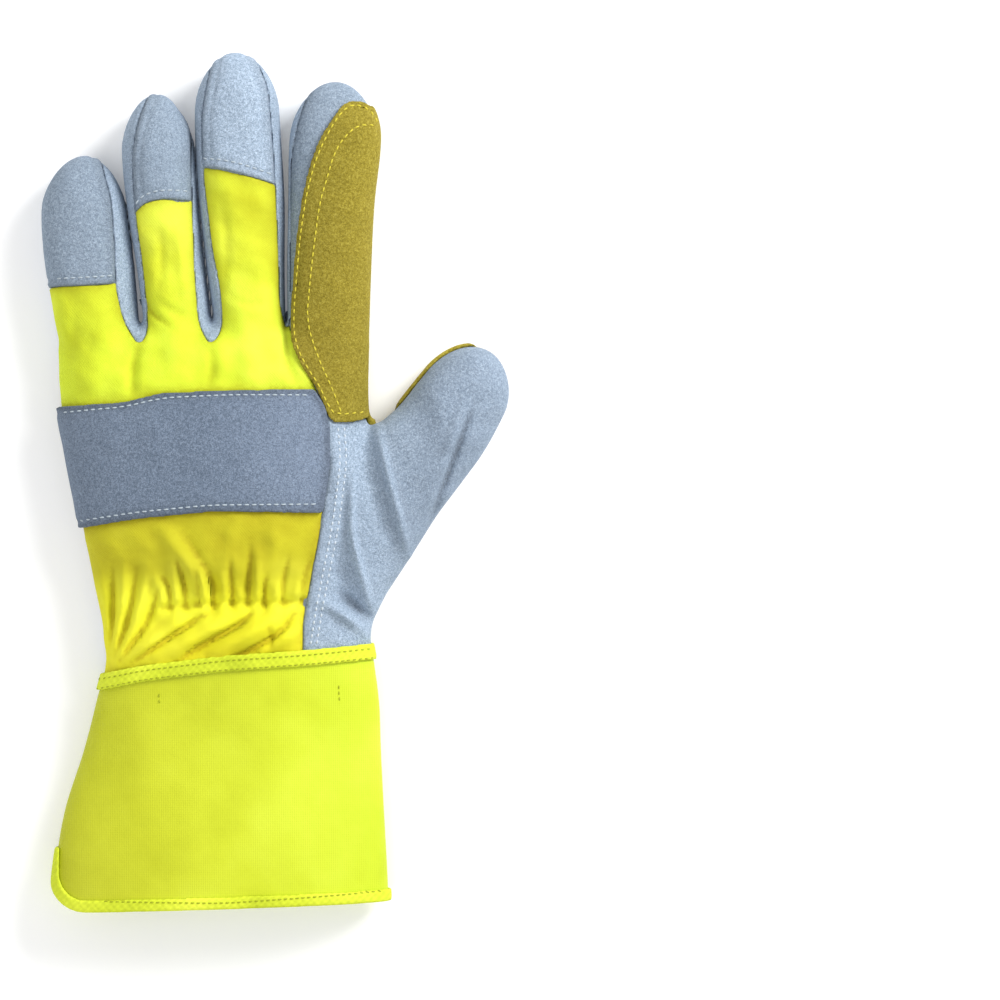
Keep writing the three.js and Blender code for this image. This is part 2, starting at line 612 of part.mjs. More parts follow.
// The hand's wall below the side seam: palm, and the fronts of the two middle fingers.
function frontPieces(wall) {
  const lower = wall.intersect(slab(LOW, SEAM_HEIGHT - halfGap));
  const { piece, rest } = take(lower, FRONT_SEAM.concat(FRONT_TOP));
  return { finger_fronts: piece, palm_shell: rest };
}

function frontWelt(skin) {
  const line = inPlan(FRONT_SEAM);
  const closed = line.concat(inPlan(FRONT_TOP));
  const ribbon = prism(closed, -WELT_WIDTH / 2).subtract(prism(closed, WELT_WIDTH / 2));
  const reach = prism(planBox({ ...BEYOND, ...WELT_REACH }));
  return skin.intersect(ribbon).intersect(reach).intersect(slab(LOW, SEAM_HEIGHT / 2));
}

function palmPatch(skin) {
  const below = skin.intersect(prism(inPlan(PALM_PATCH))).intersect(slab(LOW, SEAM_HEIGHT));
  const above = skin.intersect(prism(inPlan(INDEX_WRAP))).intersect(slab(SEAM_HEIGHT, HIGH));
  return below.add(above);
}

function knuckleStrap(skin) {
  return skin.intersect(prism(inPlan(STRAP))).intersect(slab(SEAM_HEIGHT + halfGap, HIGH));
}

function topBinding() {
  const ring = trunk(CLEARANCE + TAPE).subtract(trunk(CLEARANCE)).subtract(folds(CLEARANCE));
  const half = BINDING_WIDTH / 2;
  return ring.intersect(wristSide("hand", -half)).intersect(wristSide("cuff", half));
}

function veinPatch() {
  const from = 2 * CLEARANCE + TAPE;
  const skin = hand(from + PATCH_LEATHER).subtract(hand(from));
  return skin.intersect(prism(inPlan(VEIN_PATCH))).intersect(slab(LOW, SEAM_HEIGHT));
}

function cuffWall() {
  const tube = trunk(0).subtract(trunk(-CUFF_WALL));
  return tube.intersect(wristSide("cuff", -halfGap)).intersect(aboveMouth(TAPE + CLEARANCE));
}

function hemBinding() {
  const inner = CUFF_WALL + CLEARANCE;
  const full = trunk(CLEARANCE + TAPE).subtract(trunk(-inner - TAPE));
  const room = trunk(CLEARANCE).subtract(trunk(-inner)).intersect(aboveMouth(TAPE));
  const below = prism(planBox({ ...BEYOND, top: MOUTH.hemTop }));
  const band = aboveMouth(0).subtract(aboveMouth(HEM_WIDTH)).intersect(below);
  return full.subtract(room).intersect(band);
}

function buildGlove() {
  const wall = hand(0).add(folds(0)).subtract(hand(-HAND_WALL)).intersect(wristSide("hand", halfGap));
  const skin = overlay(PATCH_LEATHER);
  const backs = backPieces(wall);
  const fronts = frontPieces(wall);
  const grey = { ...backs, ...fronts };
  delete grey.back_fabric;
  const glove = new THREE.Group();
  glove.name = "work_glove";
  for (const [name, solid] of Object.entries(grey)) glove.add(meshOf(name, solid, leatherGrey()));
  glove.add(meshOf("back_fabric", backs.back_fabric, clothYellow()));
  glove.add(meshOf("finger_seam_welt", frontWelt(skin), leatherGrey()));
  glove.add(meshOf("knuckle_strap", knuckleStrap(skin), leatherGrey()));
  glove.add(meshOf("palm_patch", palmPatch(skin), leatherMustard()));
  glove.add(meshOf("vein_patch", veinPatch(), leatherGrey()));
  glove.add(meshOf("cuff_wall", cuffWall(), canvasLime()));
  glove.add(meshOf("cuff_top_binding", topBinding(), tapeLime()));
  glove.add(meshOf("cuff_hem_binding", hemBinding(), tapeLime()));
  const box = new THREE.Box3().setFromObject(glove);
  const centre = box.getCenter(new THREE.Vector3());
  glove.position.set(-centre.x, -centre.y, -box.min.z);
  glove.updateMatrixWorld(true);
  return glove;
}

export default buildGlove();
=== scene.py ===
import math

import bpy
import numpy as np
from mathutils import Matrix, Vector
from mathutils.bvhtree import BVHTree


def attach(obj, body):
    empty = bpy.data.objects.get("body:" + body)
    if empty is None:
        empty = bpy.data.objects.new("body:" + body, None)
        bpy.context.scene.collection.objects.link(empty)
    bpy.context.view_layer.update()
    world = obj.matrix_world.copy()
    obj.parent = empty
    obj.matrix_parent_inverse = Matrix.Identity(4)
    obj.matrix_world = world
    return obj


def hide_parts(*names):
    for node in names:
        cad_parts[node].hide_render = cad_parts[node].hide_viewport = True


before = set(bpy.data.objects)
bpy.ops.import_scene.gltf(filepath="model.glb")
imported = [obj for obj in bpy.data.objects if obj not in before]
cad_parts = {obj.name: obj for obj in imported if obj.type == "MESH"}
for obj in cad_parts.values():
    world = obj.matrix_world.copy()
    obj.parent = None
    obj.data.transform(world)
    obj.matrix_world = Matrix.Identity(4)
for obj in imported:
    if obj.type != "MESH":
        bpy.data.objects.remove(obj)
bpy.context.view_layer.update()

# Shapes are worked out in millimetres in the CAD frame. Plan positions are written on a grid of
# 0.33 mm squares with x to the right and y towards the cuff, and mm() turns them into the frame.
SQUARE = 0.33
GRID_X = 275.9
GRID_Y = 482.4
SIDE_SEAM = 9.0
PALM_TOP = 18.0
FINGER_TOP = 11.5
THUMB_TOP = 13.0


def mm(points):
    p = np.asarray(points, float)
    return np.stack([(p[..., 0] - GRID_X) * SQUARE, (GRID_Y - p[..., 1]) * SQUARE], -1)


def camera():
    """Straight down over a picture 1000 squares wide, which is sharp at the height of the side seam."""
    width, away, level = 0.33, 1.5, 0.009
    data = bpy.data.cameras.new("camera")
    data.sensor_width = 36
    data.lens = 36 * away / width
    data.clip_start = 0.05
    o = bpy.data.objects.new("camera", data)
    x, y = mm((500, 500)) / 1000
    o.location = (x, y, level + away)
    o.rotation_euler = (0, 0, 0)
    bpy.context.scene.collection.objects.link(o)
    bpy.context.scene.camera = o


camera()


def smooth_columns(at, rows):
    """Values of every column of rows at the stations at, along smooth curves through the rows."""
    rows = np.asarray(rows, float)
    t, v = rows[:, 0], rows[:, 1:]
    if t[0] > t[-1]:
        t, v = t[::-1], v[::-1]
    slope = np.gradient(v, t, axis=0)
    at = np.clip(at, t[0], t[-1])
    k = np.clip(np.searchsorted(t, at) - 1, 0, len(t) - 2)
    step = t[k + 1] - t[k]
    s = ((at - t[k]) / step)[..., None]
    a, b = v[k], v[k + 1]
    ma, mb = slope[k] * step[..., None], slope[k + 1] * step[..., None]
    return ((2 * s**3 - 3 * s**2 + 1) * a + (s**3 - 2 * s**2 + s) * ma
            + (3 * s**2 - 2 * s**3) * b + (s**3 - s**2) * mb)


# Station y, left and right edge, share of the height above the side seam, lowest level in mm.
TRUNK = [
    (334, 61, 359, 0.66, 2.4), (350, 60, 360, 0.74, 2.0), (380, 60, 361, 0.86, 1.9),
    (410, 62, 364, 0.95, 1.9), (460, 70, 369, 1.0, 1.9), (515, 81, 370, 1.0, 1.9),
    (560, 90, 370, 0.94, 1.9), (600, 98, 370, 0.8, 1.9), (630, 104, 369, 0.86, 2.9),
    (662, 106, 374, 0.82, 3.0), (700, 97, 379, 0.78, 3.0), (750, 84, 381, 0.76, 3.0),
    (810, 65, 384, 0.78, 1.9), (865, 56, 387, 0.8, 1.5), (935, 50, 390, 0.8, 1.5),
]
LITTLE = [
    (430, 84, 130, 0.8, 3.2), (380, 70, 135, 0.95, 2.7), (340, 59, 139, 1, 2.1), (290, 50, 136, 1, 0.9),
    (240, 44, 131, 1, 0.3), (205, 43, 126, 0.98, 0.3), (150, 50, 122, 0.92, 0.8),
]
RING = [
    (430, 152, 202, 0.8, 3.2), (380, 147, 209, 0.95, 2.7), (340, 145, 212, 1, 2.1), (270, 137, 205, 1, 0.9),
    (215, 128, 199, 1, 0.3), (155, 122, 195, 1, 0.3), (90, 125, 186, 0.92, 0.8),
]
MIDDLE = [
    (430, 224, 278, 0.8, 3.2), (380, 218, 283, 0.95, 2.7), (340, 216, 285, 1, 2.1), (270, 207, 284, 1, 0.9),
    (200, 199, 284, 1, 0.3), (130, 195, 280, 1, 0.3), (50, 197, 275, 0.92, 0.8),
]
INDEX = [
    (430, 298, 356, 0.8, 3.2), (380, 290, 362, 0.93, 2.6), (340, 288, 364, 0.97, 2.0),
    (280, 287, 366, 0.97, 1.9), (200, 288, 370, 0.97, 1.9), (145, 289, 376, 0.95, 1.9),
    (78, 296, 375, 0.88, 2.0),
]
# The thumb's stations run along its own line, and its edges lie across that line.
THUMB_ROOT = (335, 600)
THUMB_HEADING = 60.0
THUMB = [
    (-30, -24, 34, 0.4, 4.0), (10, -26, 39, 0.62, 3.2), (50, -38, 42, 0.8, 2.4), (90, -46, 44, 0.94, 2.0),
    (130, -53, 46, 1, 1.9), (170, -50, 51, 1, 1.9), (200, -41, 54, 0.98, 1.9), (230, -36, 54, 0.95, 1.9),
    (255, -32, 52, 0.9, 1.9), (295, -28, 46, 0.82, 2.0),
]
# Where each rounded tip starts and how long it is, in grid squares along its own line.
TIPS = {"little": (214, 57), "ring": (152, 57), "middle": (111, 57), "index": (138, 56), "thumb": (246, 46)}
CROTCH = (352, 30)
ROOT_SPAN = 25
# The palm's leather lies this far above the floor, on its stitches.
REST = 0.25


class Grid:
    """A block of points, h millimetres apart, over a plan box given in grid squares."""

    def __init__(self, left, right, top, bottom, low, high, h):
        (x0, y0), (x1, y1) = mm([(left, bottom), (right, top)])
        self.h = h
        self.x = np.arange(x0, x1 + h, h, dtype=np.float32)
        self.y = np.arange(y0, y1 + h, h, dtype=np.float32)
        self.z = np.arange(low, high + h, h, dtype=np.float32)
        self.level = self.z[None, None, :]
        self.plan = np.stack(np.meshgrid(self.x, self.y, indexing="ij"), -1)


def rounded_form(along, across, z, rows, top, tip, crown=2.25, floor=3.6):
    """Field of a soft tube: under 1 inside and over 1 outside. along and across are in grid squares."""
    left, right, rise, low = np.moveaxis(smooth_columns(along[..., 0], rows), -1, 0)
    middle, half = (left + right) / 2, (right - left) / 2
    a = (np.abs(across[..., 0] - middle) / half)[..., None]
    up = SIDE_SEAM + top * rise[..., None]
    above = np.clip((z - SIDE_SEAM) / (up - SIDE_SEAM), 0, None)
    below = np.clip((SIDE_SEAM - z) / (SIDE_SEAM - low[..., None]), 0, None)
    back = (a**crown + above**crown) ** (1 / crown)
    palm = (a**floor + below**floor) ** (1 / floor)
    g = np.where(z >= SIDE_SEAM, back, palm)
    start, span = tip
    root = min(rows[0][0], rows[-1][0])
    past_root = np.clip((root + ROOT_SPAN - along) / ROOT_SPAN, 0, None)
    t = np.maximum(np.clip((along - start) / span, 0, None), past_root)
    return np.sqrt(g * g + t * t)


def distance(field, h):
    """Distance to where a field is 1, in millimetres, near that surface."""
    gx, gy, gz = np.gradient(field, h)
    return (field - 1) / np.maximum(np.sqrt(gx * gx + gy * gy + gz * gz), 0.004)


def blend(a, b, r):
    """The nearer of two distances, with the inner corner between them filled to about r."""
    k = np.clip(r - np.abs(a - b), 0, None) / r
    return np.minimum(a, b) - k * k * r / 4


def overlap(a, b, r):
    """The further of two distances, with the outer corner between them rounded to about r."""
    return -blend(-a, -b, r)


def squares(grid):
    """Plan positions of a grid's points, in grid squares."""
    return grid.plan[..., 0] / SQUARE + GRID_X, GRID_Y - grid.plan[..., 1] / SQUARE


def upright(grid, rows, top, tip):
    """A finger, or the palm and cuff: stations run down the grid, so a tip lies at a smaller y."""
    across, down = squares(grid)
    start, span = tip
    flipped = [(-r[0], *r[1:]) for r in rows]
    form = rounded_form(-down[..., None], across[..., None], grid.level, flipped, top, (-start, span))
    return distance(form, grid.h)


def thumb_form(grid):
    across, down = squares(grid)
    turn = math.radians(THUMB_HEADING)
    rx, ry = across - THUMB_ROOT[0], THUMB_ROOT[1] - down
    along = rx * math.cos(turn) + ry * math.sin(turn)
    side = rx * math.sin(turn) - ry * math.cos(turn)
    form = rounded_form(along[..., None], side[..., None], grid.level, THUMB, THUMB_TOP, TIPS["thumb"])
    return distance(form, grid.h)


def hand(grid, digits=("little", "ring", "middle", "index", "thumb"), trunk=True):
    rows = {"little": LITTLE, "ring": RING, "middle": MIDDLE, "index": INDEX}
    rounding = np.clip((grid.level - 3) / 8, 0, 1)
    body = upright(grid, TRUNK, PALM_TOP, CROTCH) if trunk else None
    whole = body
    for name in digits:
        one = thumb_form(grid) if name == "thumb" else upright(grid, rows[name], FINGER_TOP, TIPS[name])
        if body is not None:
            one = blend(body, one, 1.2 + (5.8 if name == "thumb" else 2.2) * rounding)
        whole = one if whole is None else np.minimum(whole, one)
    return whole


def rounded_outline(points, cut, closed=True):
    """An outline in millimetres with each corner cut twice, by at most cut and then a third of it."""
    p = mm(points)
    for reach in (cut, cut / 3):
        out = []
        n = len(p)
        for k in range(n):
            if not closed and k in (0, n - 1):
                out.append(p[k])
                continue
            for q in (p[k - 1], p[(k + 1) % n]):
                d = np.linalg.norm(q - p[k])
                out.append(p[k] + (q - p[k]) * min(reach / max(d, 1e-6), 0.3))
        p = np.array(out)
    return p


def line_distance(grid, points):
    """Distance in plan from a grid's points to an open line in millimetres."""
    best = np.full(grid.plan.shape[:2], 1e6, np.float32)
    for a, b in zip(points[:-1], points[1:]):
        d = b - a
        t = np.clip(((grid.plan - a) @ d) / max(d @ d, 1e-9), 0, 1)
        best = np.minimum(best, np.linalg.norm(grid.plan - (a + t[..., None] * d), axis=-1))
    return best


def region(grid, points, cut=3.0):
    """Signed distance in plan to a closed outline, negative inside, as a field over the grid."""
    p = rounded_outline(points, cut)
    ring = np.vstack([p, p[:1]])
    edge = line_distance(grid, ring)
    x, y = grid.plan[..., 0], grid.plan[..., 1]
    inside = np.zeros(x.shape, bool)
    for (x0, y0), (x1, y1) in zip(ring[:-1], ring[1:]):
        if y0 == y1:
            continue
        crosses = (y0 > y) != (y1 > y)
        inside ^= crosses & (x < (x1 - x0) * (y - y0) / (y1 - y0) + x0)
    return np.where(inside, -edge, edge)[..., None]


def surface(field, grid):
    """Vertices and quads of the surface where a field is 0, one vertex for each cell that it crosses."""
    f = field.astype(np.float32)
    inside = f < 0
    corners = [(i, j, k) for i in (0, 1) for j in (0, 1) for k in (0, 1)]
    n = [s - 1 for s in f.shape]

    def part(a, i, j, k):
        return a[i : i + n[0], j : j + n[1], k : k + n[2]]

    count = sum(part(inside, *c).astype(np.int8) for c in corners)
    cell = np.argwhere((count > 0) & (count < 8))
    value = np.stack([f[cell[:, 0] + i, cell[:, 1] + j, cell[:, 2] + k] for i, j, k in corners], 1)
    total = np.zeros((len(cell), 3))
    crossings = np.zeros(len(cell))
    for a in range(8):
        for b in range(a + 1, 8):
            step = np.array(corners[b]) - np.array(corners[a])
            if np.abs(step).sum() != 1:
                continue
            va, vb = value[:, a], value[:, b]
            hit = (va < 0) != (vb < 0)
            t = np.where(hit, va / np.where(hit, va - vb, 1), 0)
            total += np.where(hit[:, None], np.array(corners[a]) + t[:, None] * step, 0)
            crossings += hit
    origin = np.array([grid.x[0], grid.y[0], grid.z[0]])
    points = origin + (cell + total / crossings[:, None]) * grid.h
    number = np.full(n, -1, np.int64)
    number[tuple(cell.T)] = np.arange(len(cell))
    quads = []
    for axis in range(3):
        one, two = [a for a in range(3) if a != axis]
        ahead = np.roll(inside, -1, axis)
        edge = inside != ahead
        keep = [slice(1, -1)] * 3
        keep[axis] = slice(0, -1)
        at = np.argwhere(edge[tuple(keep)]) + np.array([0 if a == axis else 1 for a in range(3)])
        around = []
        for du, dv in ((1, 1), (0, 1), (0, 0), (1, 0)):
            c = at.copy()
            c[:, one] -= du
            c[:, two] -= dv
            around.append(number[tuple(c.T)])
        q = np.stack(around, 1)
        out = inside[tuple(at.T)] ^ (axis == 1)
        q[~out] = q[~out][:, ::-1]
        quads.append(q)
    return points, np.concatenate(quads)


def relaxed(points, quads, rounds, amount=0.5):
    """Points drawn towards the middle of their neighbours, then part of the way back."""
    n = len(points)
    a, b = quads.ravel(), np.roll(quads, -1, 1).ravel()
    degree = np.bincount(a, minlength=n) + np.bincount(b, minlength=n)
    for factor in [amount, -amount * 0.96] * rounds:
        mean = np.zeros_like(points)
        for axis in range(3):
            ahead, behind = np.bincount(a, points[b, axis], n), np.bincount(b, points[a, axis], n)
            mean[:, axis] = (ahead + behind) / degree
        points = points + (mean - points) * factor
    return points


def mesh_object(name, points, faces, material):
    mesh = bpy.data.meshes.new(name)
    mesh.from_pydata((np.asarray(points) / 1000).tolist(), [], faces)
    mesh.materials.append(material)
    mesh.polygons.foreach_set("use_smooth", [True] * len(mesh.polygons))
    mesh.update()
    o = bpy.data.objects.new(name, mesh)
    bpy.context.scene.collection.objects.link(o)
    return o


SOFT = {}


def crevice_shade(grid, inside, height):
    """How much painted shade a plan point gets beside a seam or in a valley between folds, from 0 to 1."""
    shade_share = np.zeros(grid.plan.shape[:2])
    if inside is not None:
        shade_share += 0.75 * np.exp(np.minimum(inside[..., 0], 0) / 1.6)
    if height is not None:
        gx, gy = np.gradient(height, grid.h)
        valley = np.gradient(gx, grid.h)[0] + np.gradient(gy, grid.h)[1]
        shade_share += np.clip(0.55 * valley, 0, 0.75)
    return np.clip(shade_share, 0, 1)


def soft_piece(name, field, grid, material, inside=None, height=None):
    points, quads = surface(field, grid)
    points = relaxed(points, quads, 2)
    points[:, 2] = np.maximum(points[:, 2], REST)
    o = mesh_object(name + "_soft", points, quads.tolist(), material)
    column = np.round((points[:, :2] - (grid.x[0], grid.y[0])) / grid.h).astype(int)
    column = np.clip(column, 0, np.array(grid.plan.shape[:2]) - 1)
    # Painted shade beside seams and in fold valleys, kept on each vertex for the materials to darken by.
    shade_share = crevice_shade(grid, inside, height)[column[:, 0], column[:, 1]]
    o.data.attributes.new("painted_shade", "FLOAT", "POINT").data.foreach_set("value", shade_share)
    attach(o, "root")
    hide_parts(name)
    SOFT[name] = o
    print(f"{name}: {2 * len(quads)} triangles")


def wall(d, inner, outer):
    """The space between two levels of a form, in millimetres from its surface."""
    return np.maximum(d - outer, inner - d)


def tucked(d, inner, outer, inside, round_off=0.6):
    """A piece that ends at a seam, with a thin flange under its neighbour."""
    piece = overlap(wall(d, inner, outer), inside, round_off)
    return np.minimum(piece, np.maximum(wall(d, inner - 0.9, inner + 0.1), inside - 1.3))


def above_seam(grid, gap=0.02):
    return SIDE_SEAM + gap - grid.level


def below_seam(grid, gap=0.02):
    return grid.level - SIDE_SEAM + gap


def ripple(grid, waves):
    """A gentle height pattern from rows of length, direction in degrees, start and height."""
    x, y = grid.plan[..., 0], grid.plan[..., 1]
    total = np.zeros_like(x)
    for length, heading, start, height in waves:
        turn = math.radians(heading)
        bend = 3 * np.sin((x * math.sin(turn) - y * math.cos(turn)) / (length * 1.7) + start)
        total += height * np.sin((x * math.cos(turn) + y * math.sin(turn) + bend) * math.tau / length + start)
    return total


def ridges(grid, rows):
    """Height of folds in millimetres. A row holds the fold's line, its half width and height in mm."""
    total = np.zeros(grid.plan.shape[:2], np.float32)
    for points, half, height in rows:
        p = rounded_outline(points, 4.0, closed=False)
        run = np.concatenate([[0], np.cumsum(np.linalg.norm(np.diff(p, axis=0), axis=1))])
        best = np.full(total.shape, 1e6, np.float32)
        share = np.zeros_like(total)
        for k, (a, b) in enumerate(zip(p[:-1], p[1:])):
            d = b - a
            t = ((grid.plan - a) @ d) / max(d @ d, 1e-9)
            c = np.clip(t, 0, 1)
            gap = np.linalg.norm(grid.plan - (a + c[..., None] * d), axis=-1)
            nearer = gap < best
            best = np.where(nearer, gap, best)
            share = np.where(nearer, (run[k] + c * (run[k + 1] - run[k])) / run[-1], share)
        swell = np.sin(np.pi * np.clip(share, 0.03, 0.97)) ** 0.7
        total += height * swell * np.exp(-((best / half) ** 2))
    return total


def upper(grid, height):
    """A height pattern as a change of distance that fades out towards the side seam."""
    fade = np.clip((grid.level - SIDE_SEAM - 0.5) / 4, 0, 1)
    return height[..., None] * fade


def lower(grid, height):
    fade = np.clip((SIDE_SEAM - 1 - grid.level) / 4, 0, 1)
    return height[..., None] * fade


# Materials.


class Nodes:
    """A short way to add shader nodes and join them."""

    def __init__(self, name):
        self.material = bpy.data.materials.new(name)
        self.material.use_nodes = True
        self.tree = self.material.node_tree
        self.shader = self.tree.nodes["Principled BSDF"]
        self.place = self.add("ShaderNodeTexCoord").outputs["Object"]

    def add(self, kind, inputs=None, **settings):
        node = self.tree.nodes.new(kind)
        for key, value in settings.items():
            setattr(node, key, value)
        for key, value in (inputs or {}).items():
            if isinstance(value, bpy.types.NodeSocket):
                self.tree.links.new(value, node.inputs[key])
            else:
                node.inputs[key].default_value = value
        return node

    def noise(self, scale, detail=4.0, rough=0.6, place=None):
        inputs = {"Vector": place or self.place, "Scale": scale, "Detail": detail, "Roughness": rough}
        return self.add("ShaderNodeTexNoise", inputs).outputs["Fac"]

    def mapped(self, turn):
        inputs = {"Vector": self.place, "Rotation": (0, 0, turn)}
        return self.add("ShaderNodeMapping", inputs).outputs["Vector"]

    def ramp(self, value, stops):
        node = self.add("ShaderNodeValToRGB", {"Fac": value})
        for k, (at, colour) in enumerate(stops):
            stop = node.color_ramp.elements[k] if k < 2 else node.color_ramp.elements.new(at)
            stop.position = at
            stop.color = (*colour, 1)
        return node.outputs["Color"]

    def mix(self, share, a, b, way="MIX"):
        node = self.add("ShaderNodeMix", data_type="RGBA", blend_type=way)
        for index, value in ((0, share), (6, a), (7, b)):
            if isinstance(value, bpy.types.NodeSocket):
                self.tree.links.new(value, node.inputs[index])
            else:
                node.inputs[index].default_value = value if index == 0 else (*value, 1)
        return node.outputs[2]

    def math(self, way, a, b):
        node = self.add("ShaderNodeMath", operation=way)
        for index, value in ((0, a), (1, b)):
            if isinstance(value, bpy.types.NodeSocket):
                self.tree.links.new(value, node.inputs[index])
            else:
                node.inputs[index].default_value = value
        return node.outputs[0]

    def bump(self, height, strength, depth, under=None):
        inputs = {"Height": height, "Strength": strength, "Distance": depth}
        if under is not None:
            inputs["Normal"] = under
        return self.add("ShaderNodeBump", inputs).outputs["Normal"]

    def graded(self, axis, stops):
        """A colour that changes along one axis. Stops hold a grid station and a colour."""
        value = self.add("ShaderNodeSeparateXYZ", {"Vector": self.place}).outputs[axis]
        span = self.add("ShaderNodeMapRange", {"Value": value, "From Min": -0.15, "From Max": 0.15})
        frame_at = [mm((at, at))["XY".index(axis)] / 300 + 0.5 for at, _ in stops]
        return self.ramp(span.outputs["Result"], sorted(zip(frame_at, (c for _, c in stops))))

    def with_painted_shade(self, colour, tint, amount):
        """A colour that goes towards a tint beside seams and in valleys: painted shade, from the shade share
        kept on each vertex.
        """
        shade_share = self.add("ShaderNodeAttribute", attribute_name="painted_shade").outputs["Fac"]
        return self.mix(self.math("MULTIPLY", shade_share, amount), colour, self.mix(1.0, colour, tint, "MULTIPLY"))

    def finish(self, colour, normal, roughness, sheen=0.0, tint=(1, 1, 1), specular=0.3):
        self.tree.links.new(colour, self.shader.inputs["Base Color"])
        self.tree.links.new(normal, self.shader.inputs["Normal"])
        self.shader.inputs["Roughness"].default_value = roughness
        self.shader.inputs["Sheen Weight"].default_value = sheen
        self.shader.inputs["Sheen Roughness"].default_value = 0.6
        self.shader.inputs["Sheen Tint"].default_value = (*tint, 1)
        self.shader.inputs["Specular IOR Level"].default_value = specular
        return self.material


def lin(r, g, b):
    """An sRGB colour from 0 to 255 as the linear values that shaders use."""
    out = []
    for v in (r, g, b):
        v /= 255
        out.append(v / 12.92 if v <= 0.04045 else ((v + 0.055) / 1.055) ** 2.4)
    return tuple(out)


def suede(name, dark, middle, light, patch, shades=None, axis="Y"):
    """Split leather: short matted nap over fibres that lie in changing directions."""
    n = Nodes(name)
    swirl = n.add("ShaderNodeTexNoise", {"Vector": n.place, "Scale": 60, "Detail": 2.0}).outputs["Color"]
    pulled = n.add("ShaderNodeMix", {0: 0.006}, data_type="VECTOR")
    n.tree.links.new(n.place, pulled.inputs[4])
    n.tree.links.new(swirl, pulled.inputs[5])
    fibre = n.noise(1100, 5, 0.75, pulled.outputs[1])
    nap = n.noise(2600, 3, 0.8)
    crumple = n.noise(150, 4, 0.6)
    cloud = n.noise(26, 2, 0.5)
    colour = n.ramp(fibre, [(0.34, dark), (0.5, middle), (0.66, light)])
    colour = n.mix(n.math("MULTIPLY", cloud, 0.6), colour, patch)
    grain = n.ramp(nap, [(0.36, (0.62, 0.62, 0.62)), (0.62, (1.3, 1.3, 1.3))])
    colour = n.mix(0.9, colour, grain, "MULTIPLY")
    if shades:
        colour = n.mix(1.0, colour, n.graded(axis, shades), "MULTIPLY")
    # Painted shade: the grey leather goes darker beside seams and in fold valleys.
    colour = n.with_painted_shade(colour, (0.45, 0.43, 0.42), 0.75)
    normal = n.bump(crumple, 0.45, 0.0016)
    normal = n.bump(fibre, 0.5, 0.0005, normal)
    normal = n.bump(nap, 0.45, 0.0003, normal)
    return n.finish(colour, normal, 0.95, 0.25, light, 0.12)


def twill(name, dark, middle, light, turn, scale, gloss=0.8, strength=0.35, crease=0.4, shades=None,
          axis="Y"):
    """Woven cloth: fine slanting ribs over a soft change of colour."""
    n = Nodes(name)
    bands = []
    for lean, size, distortion in ((0, scale, 1.2), (90, scale * 0.8, 1.5)):
        inputs = {"Vector": n.mapped(math.radians(turn + lean)), "Scale": size, "Distortion": distortion,
                  "Detail": 1.0, "Detail Scale": 3.0}
        wave = n.add("ShaderNodeTexWave", inputs, wave_type="BANDS", bands_direction="X")
        bands.append(wave.outputs["Fac"])
    cloud = n.noise(30, 4, 0.55)
    colour = n.ramp(cloud, [(0.32, dark), (0.5, middle), (0.7, light)])
    weave = n.math("ADD", n.math("MULTIPLY", bands[0], 0.7), n.math("MULTIPLY", bands[1], 0.3))
    shade = n.ramp(weave, [(0.1, (0.93, 0.93, 0.9)), (0.8, (1.03, 1.03, 1.03))])
    colour = n.mix(0.8, colour, shade, "MULTIPLY")
    if shades:
        colour = n.mix(1.0, colour, n.graded(axis, shades), "MULTIPLY")
    # Painted shade: the cloth goes darker and more orange-olive beside seams and in fold valleys.
    colour = n.with_painted_shade(colour, (0.58, 0.46, 0.16), 0.85)
    fluff = n.noise(900, 3, 0.7)
    crumple = n.noise(110, 4, 0.6)
    normal = n.bump(crumple, crease, 0.0016)
    normal = n.bump(weave, strength, 0.0003, normal)
    normal = n.bump(fluff, 0.2, 0.0002, normal)
    return n.finish(colour, normal, gloss, 0.15, light, 0.25)


def scaled(colour, share):
    return tuple(share * c for c in colour)


def grey_suede(name, level, shades=None, axis="X"):
    """Grey split leather at one lightness: no two hides of a glove match."""
    tones = (lin(122, 138, 155), lin(154, 170, 188), lin(186, 202, 219), lin(146, 162, 180))
    return suede(name, *(scaled(t, level) for t in tones), shades, axis)


GREY = grey_suede("grey_suede", 0.95)
CAP_GREY = {"little": grey_suede("grey_suede_little", 0.78), "ring": grey_suede("grey_suede_ring", 0.82),
            "middle": grey_suede("grey_suede_middle", 1.04)}
INDEX_GREY = grey_suede("grey_suede_index", 0.78)
# Shades that change along a piece: the grid station and the tint there.
THUMB_SHADES = [(310, (1, 1, 1)), (370, (1, 1, 1)), (425, (0.72, 0.72, 0.73)), (480, (0.76, 0.76, 0.77))]
# Painted shade along the knuckle strap: darkest in the middle, lightest to the right towards the key light.
STRAP_PAINTED_SHADE = [(70, (0.86, 0.87, 0.92)), (200, (0.72, 0.74, 0.8)), (300, (0.92, 0.93, 1))]
THUMB_GREY = grey_suede("grey_suede_thumb", 1.0, THUMB_SHADES)
STRAP_GREY = grey_suede("grey_suede_strap", 0.62, STRAP_PAINTED_SHADE)
MUSTARD = suede("mustard_suede", lin(128, 113, 32), lin(166, 152, 56), lin(200, 186, 84), lin(154, 139, 50))
# Part dye and part painted shade down the back of the hand: darker and more olive below the strap, yellower
# over the knuckles and in the gathers.
YELLOW_DYE_AND_PAINTED_SHADE = [(250, (0.84, 0.9, 1)), (340, (0.86, 1, 1)), (400, (0.84, 0.98, 1)),
                 (510, (0.72, 0.66, 0.5)), (570, (0.7, 0.64, 0.5)), (602, (1, 0.96, 0.75)),
                 (650, (1, 0.92, 0.6))]
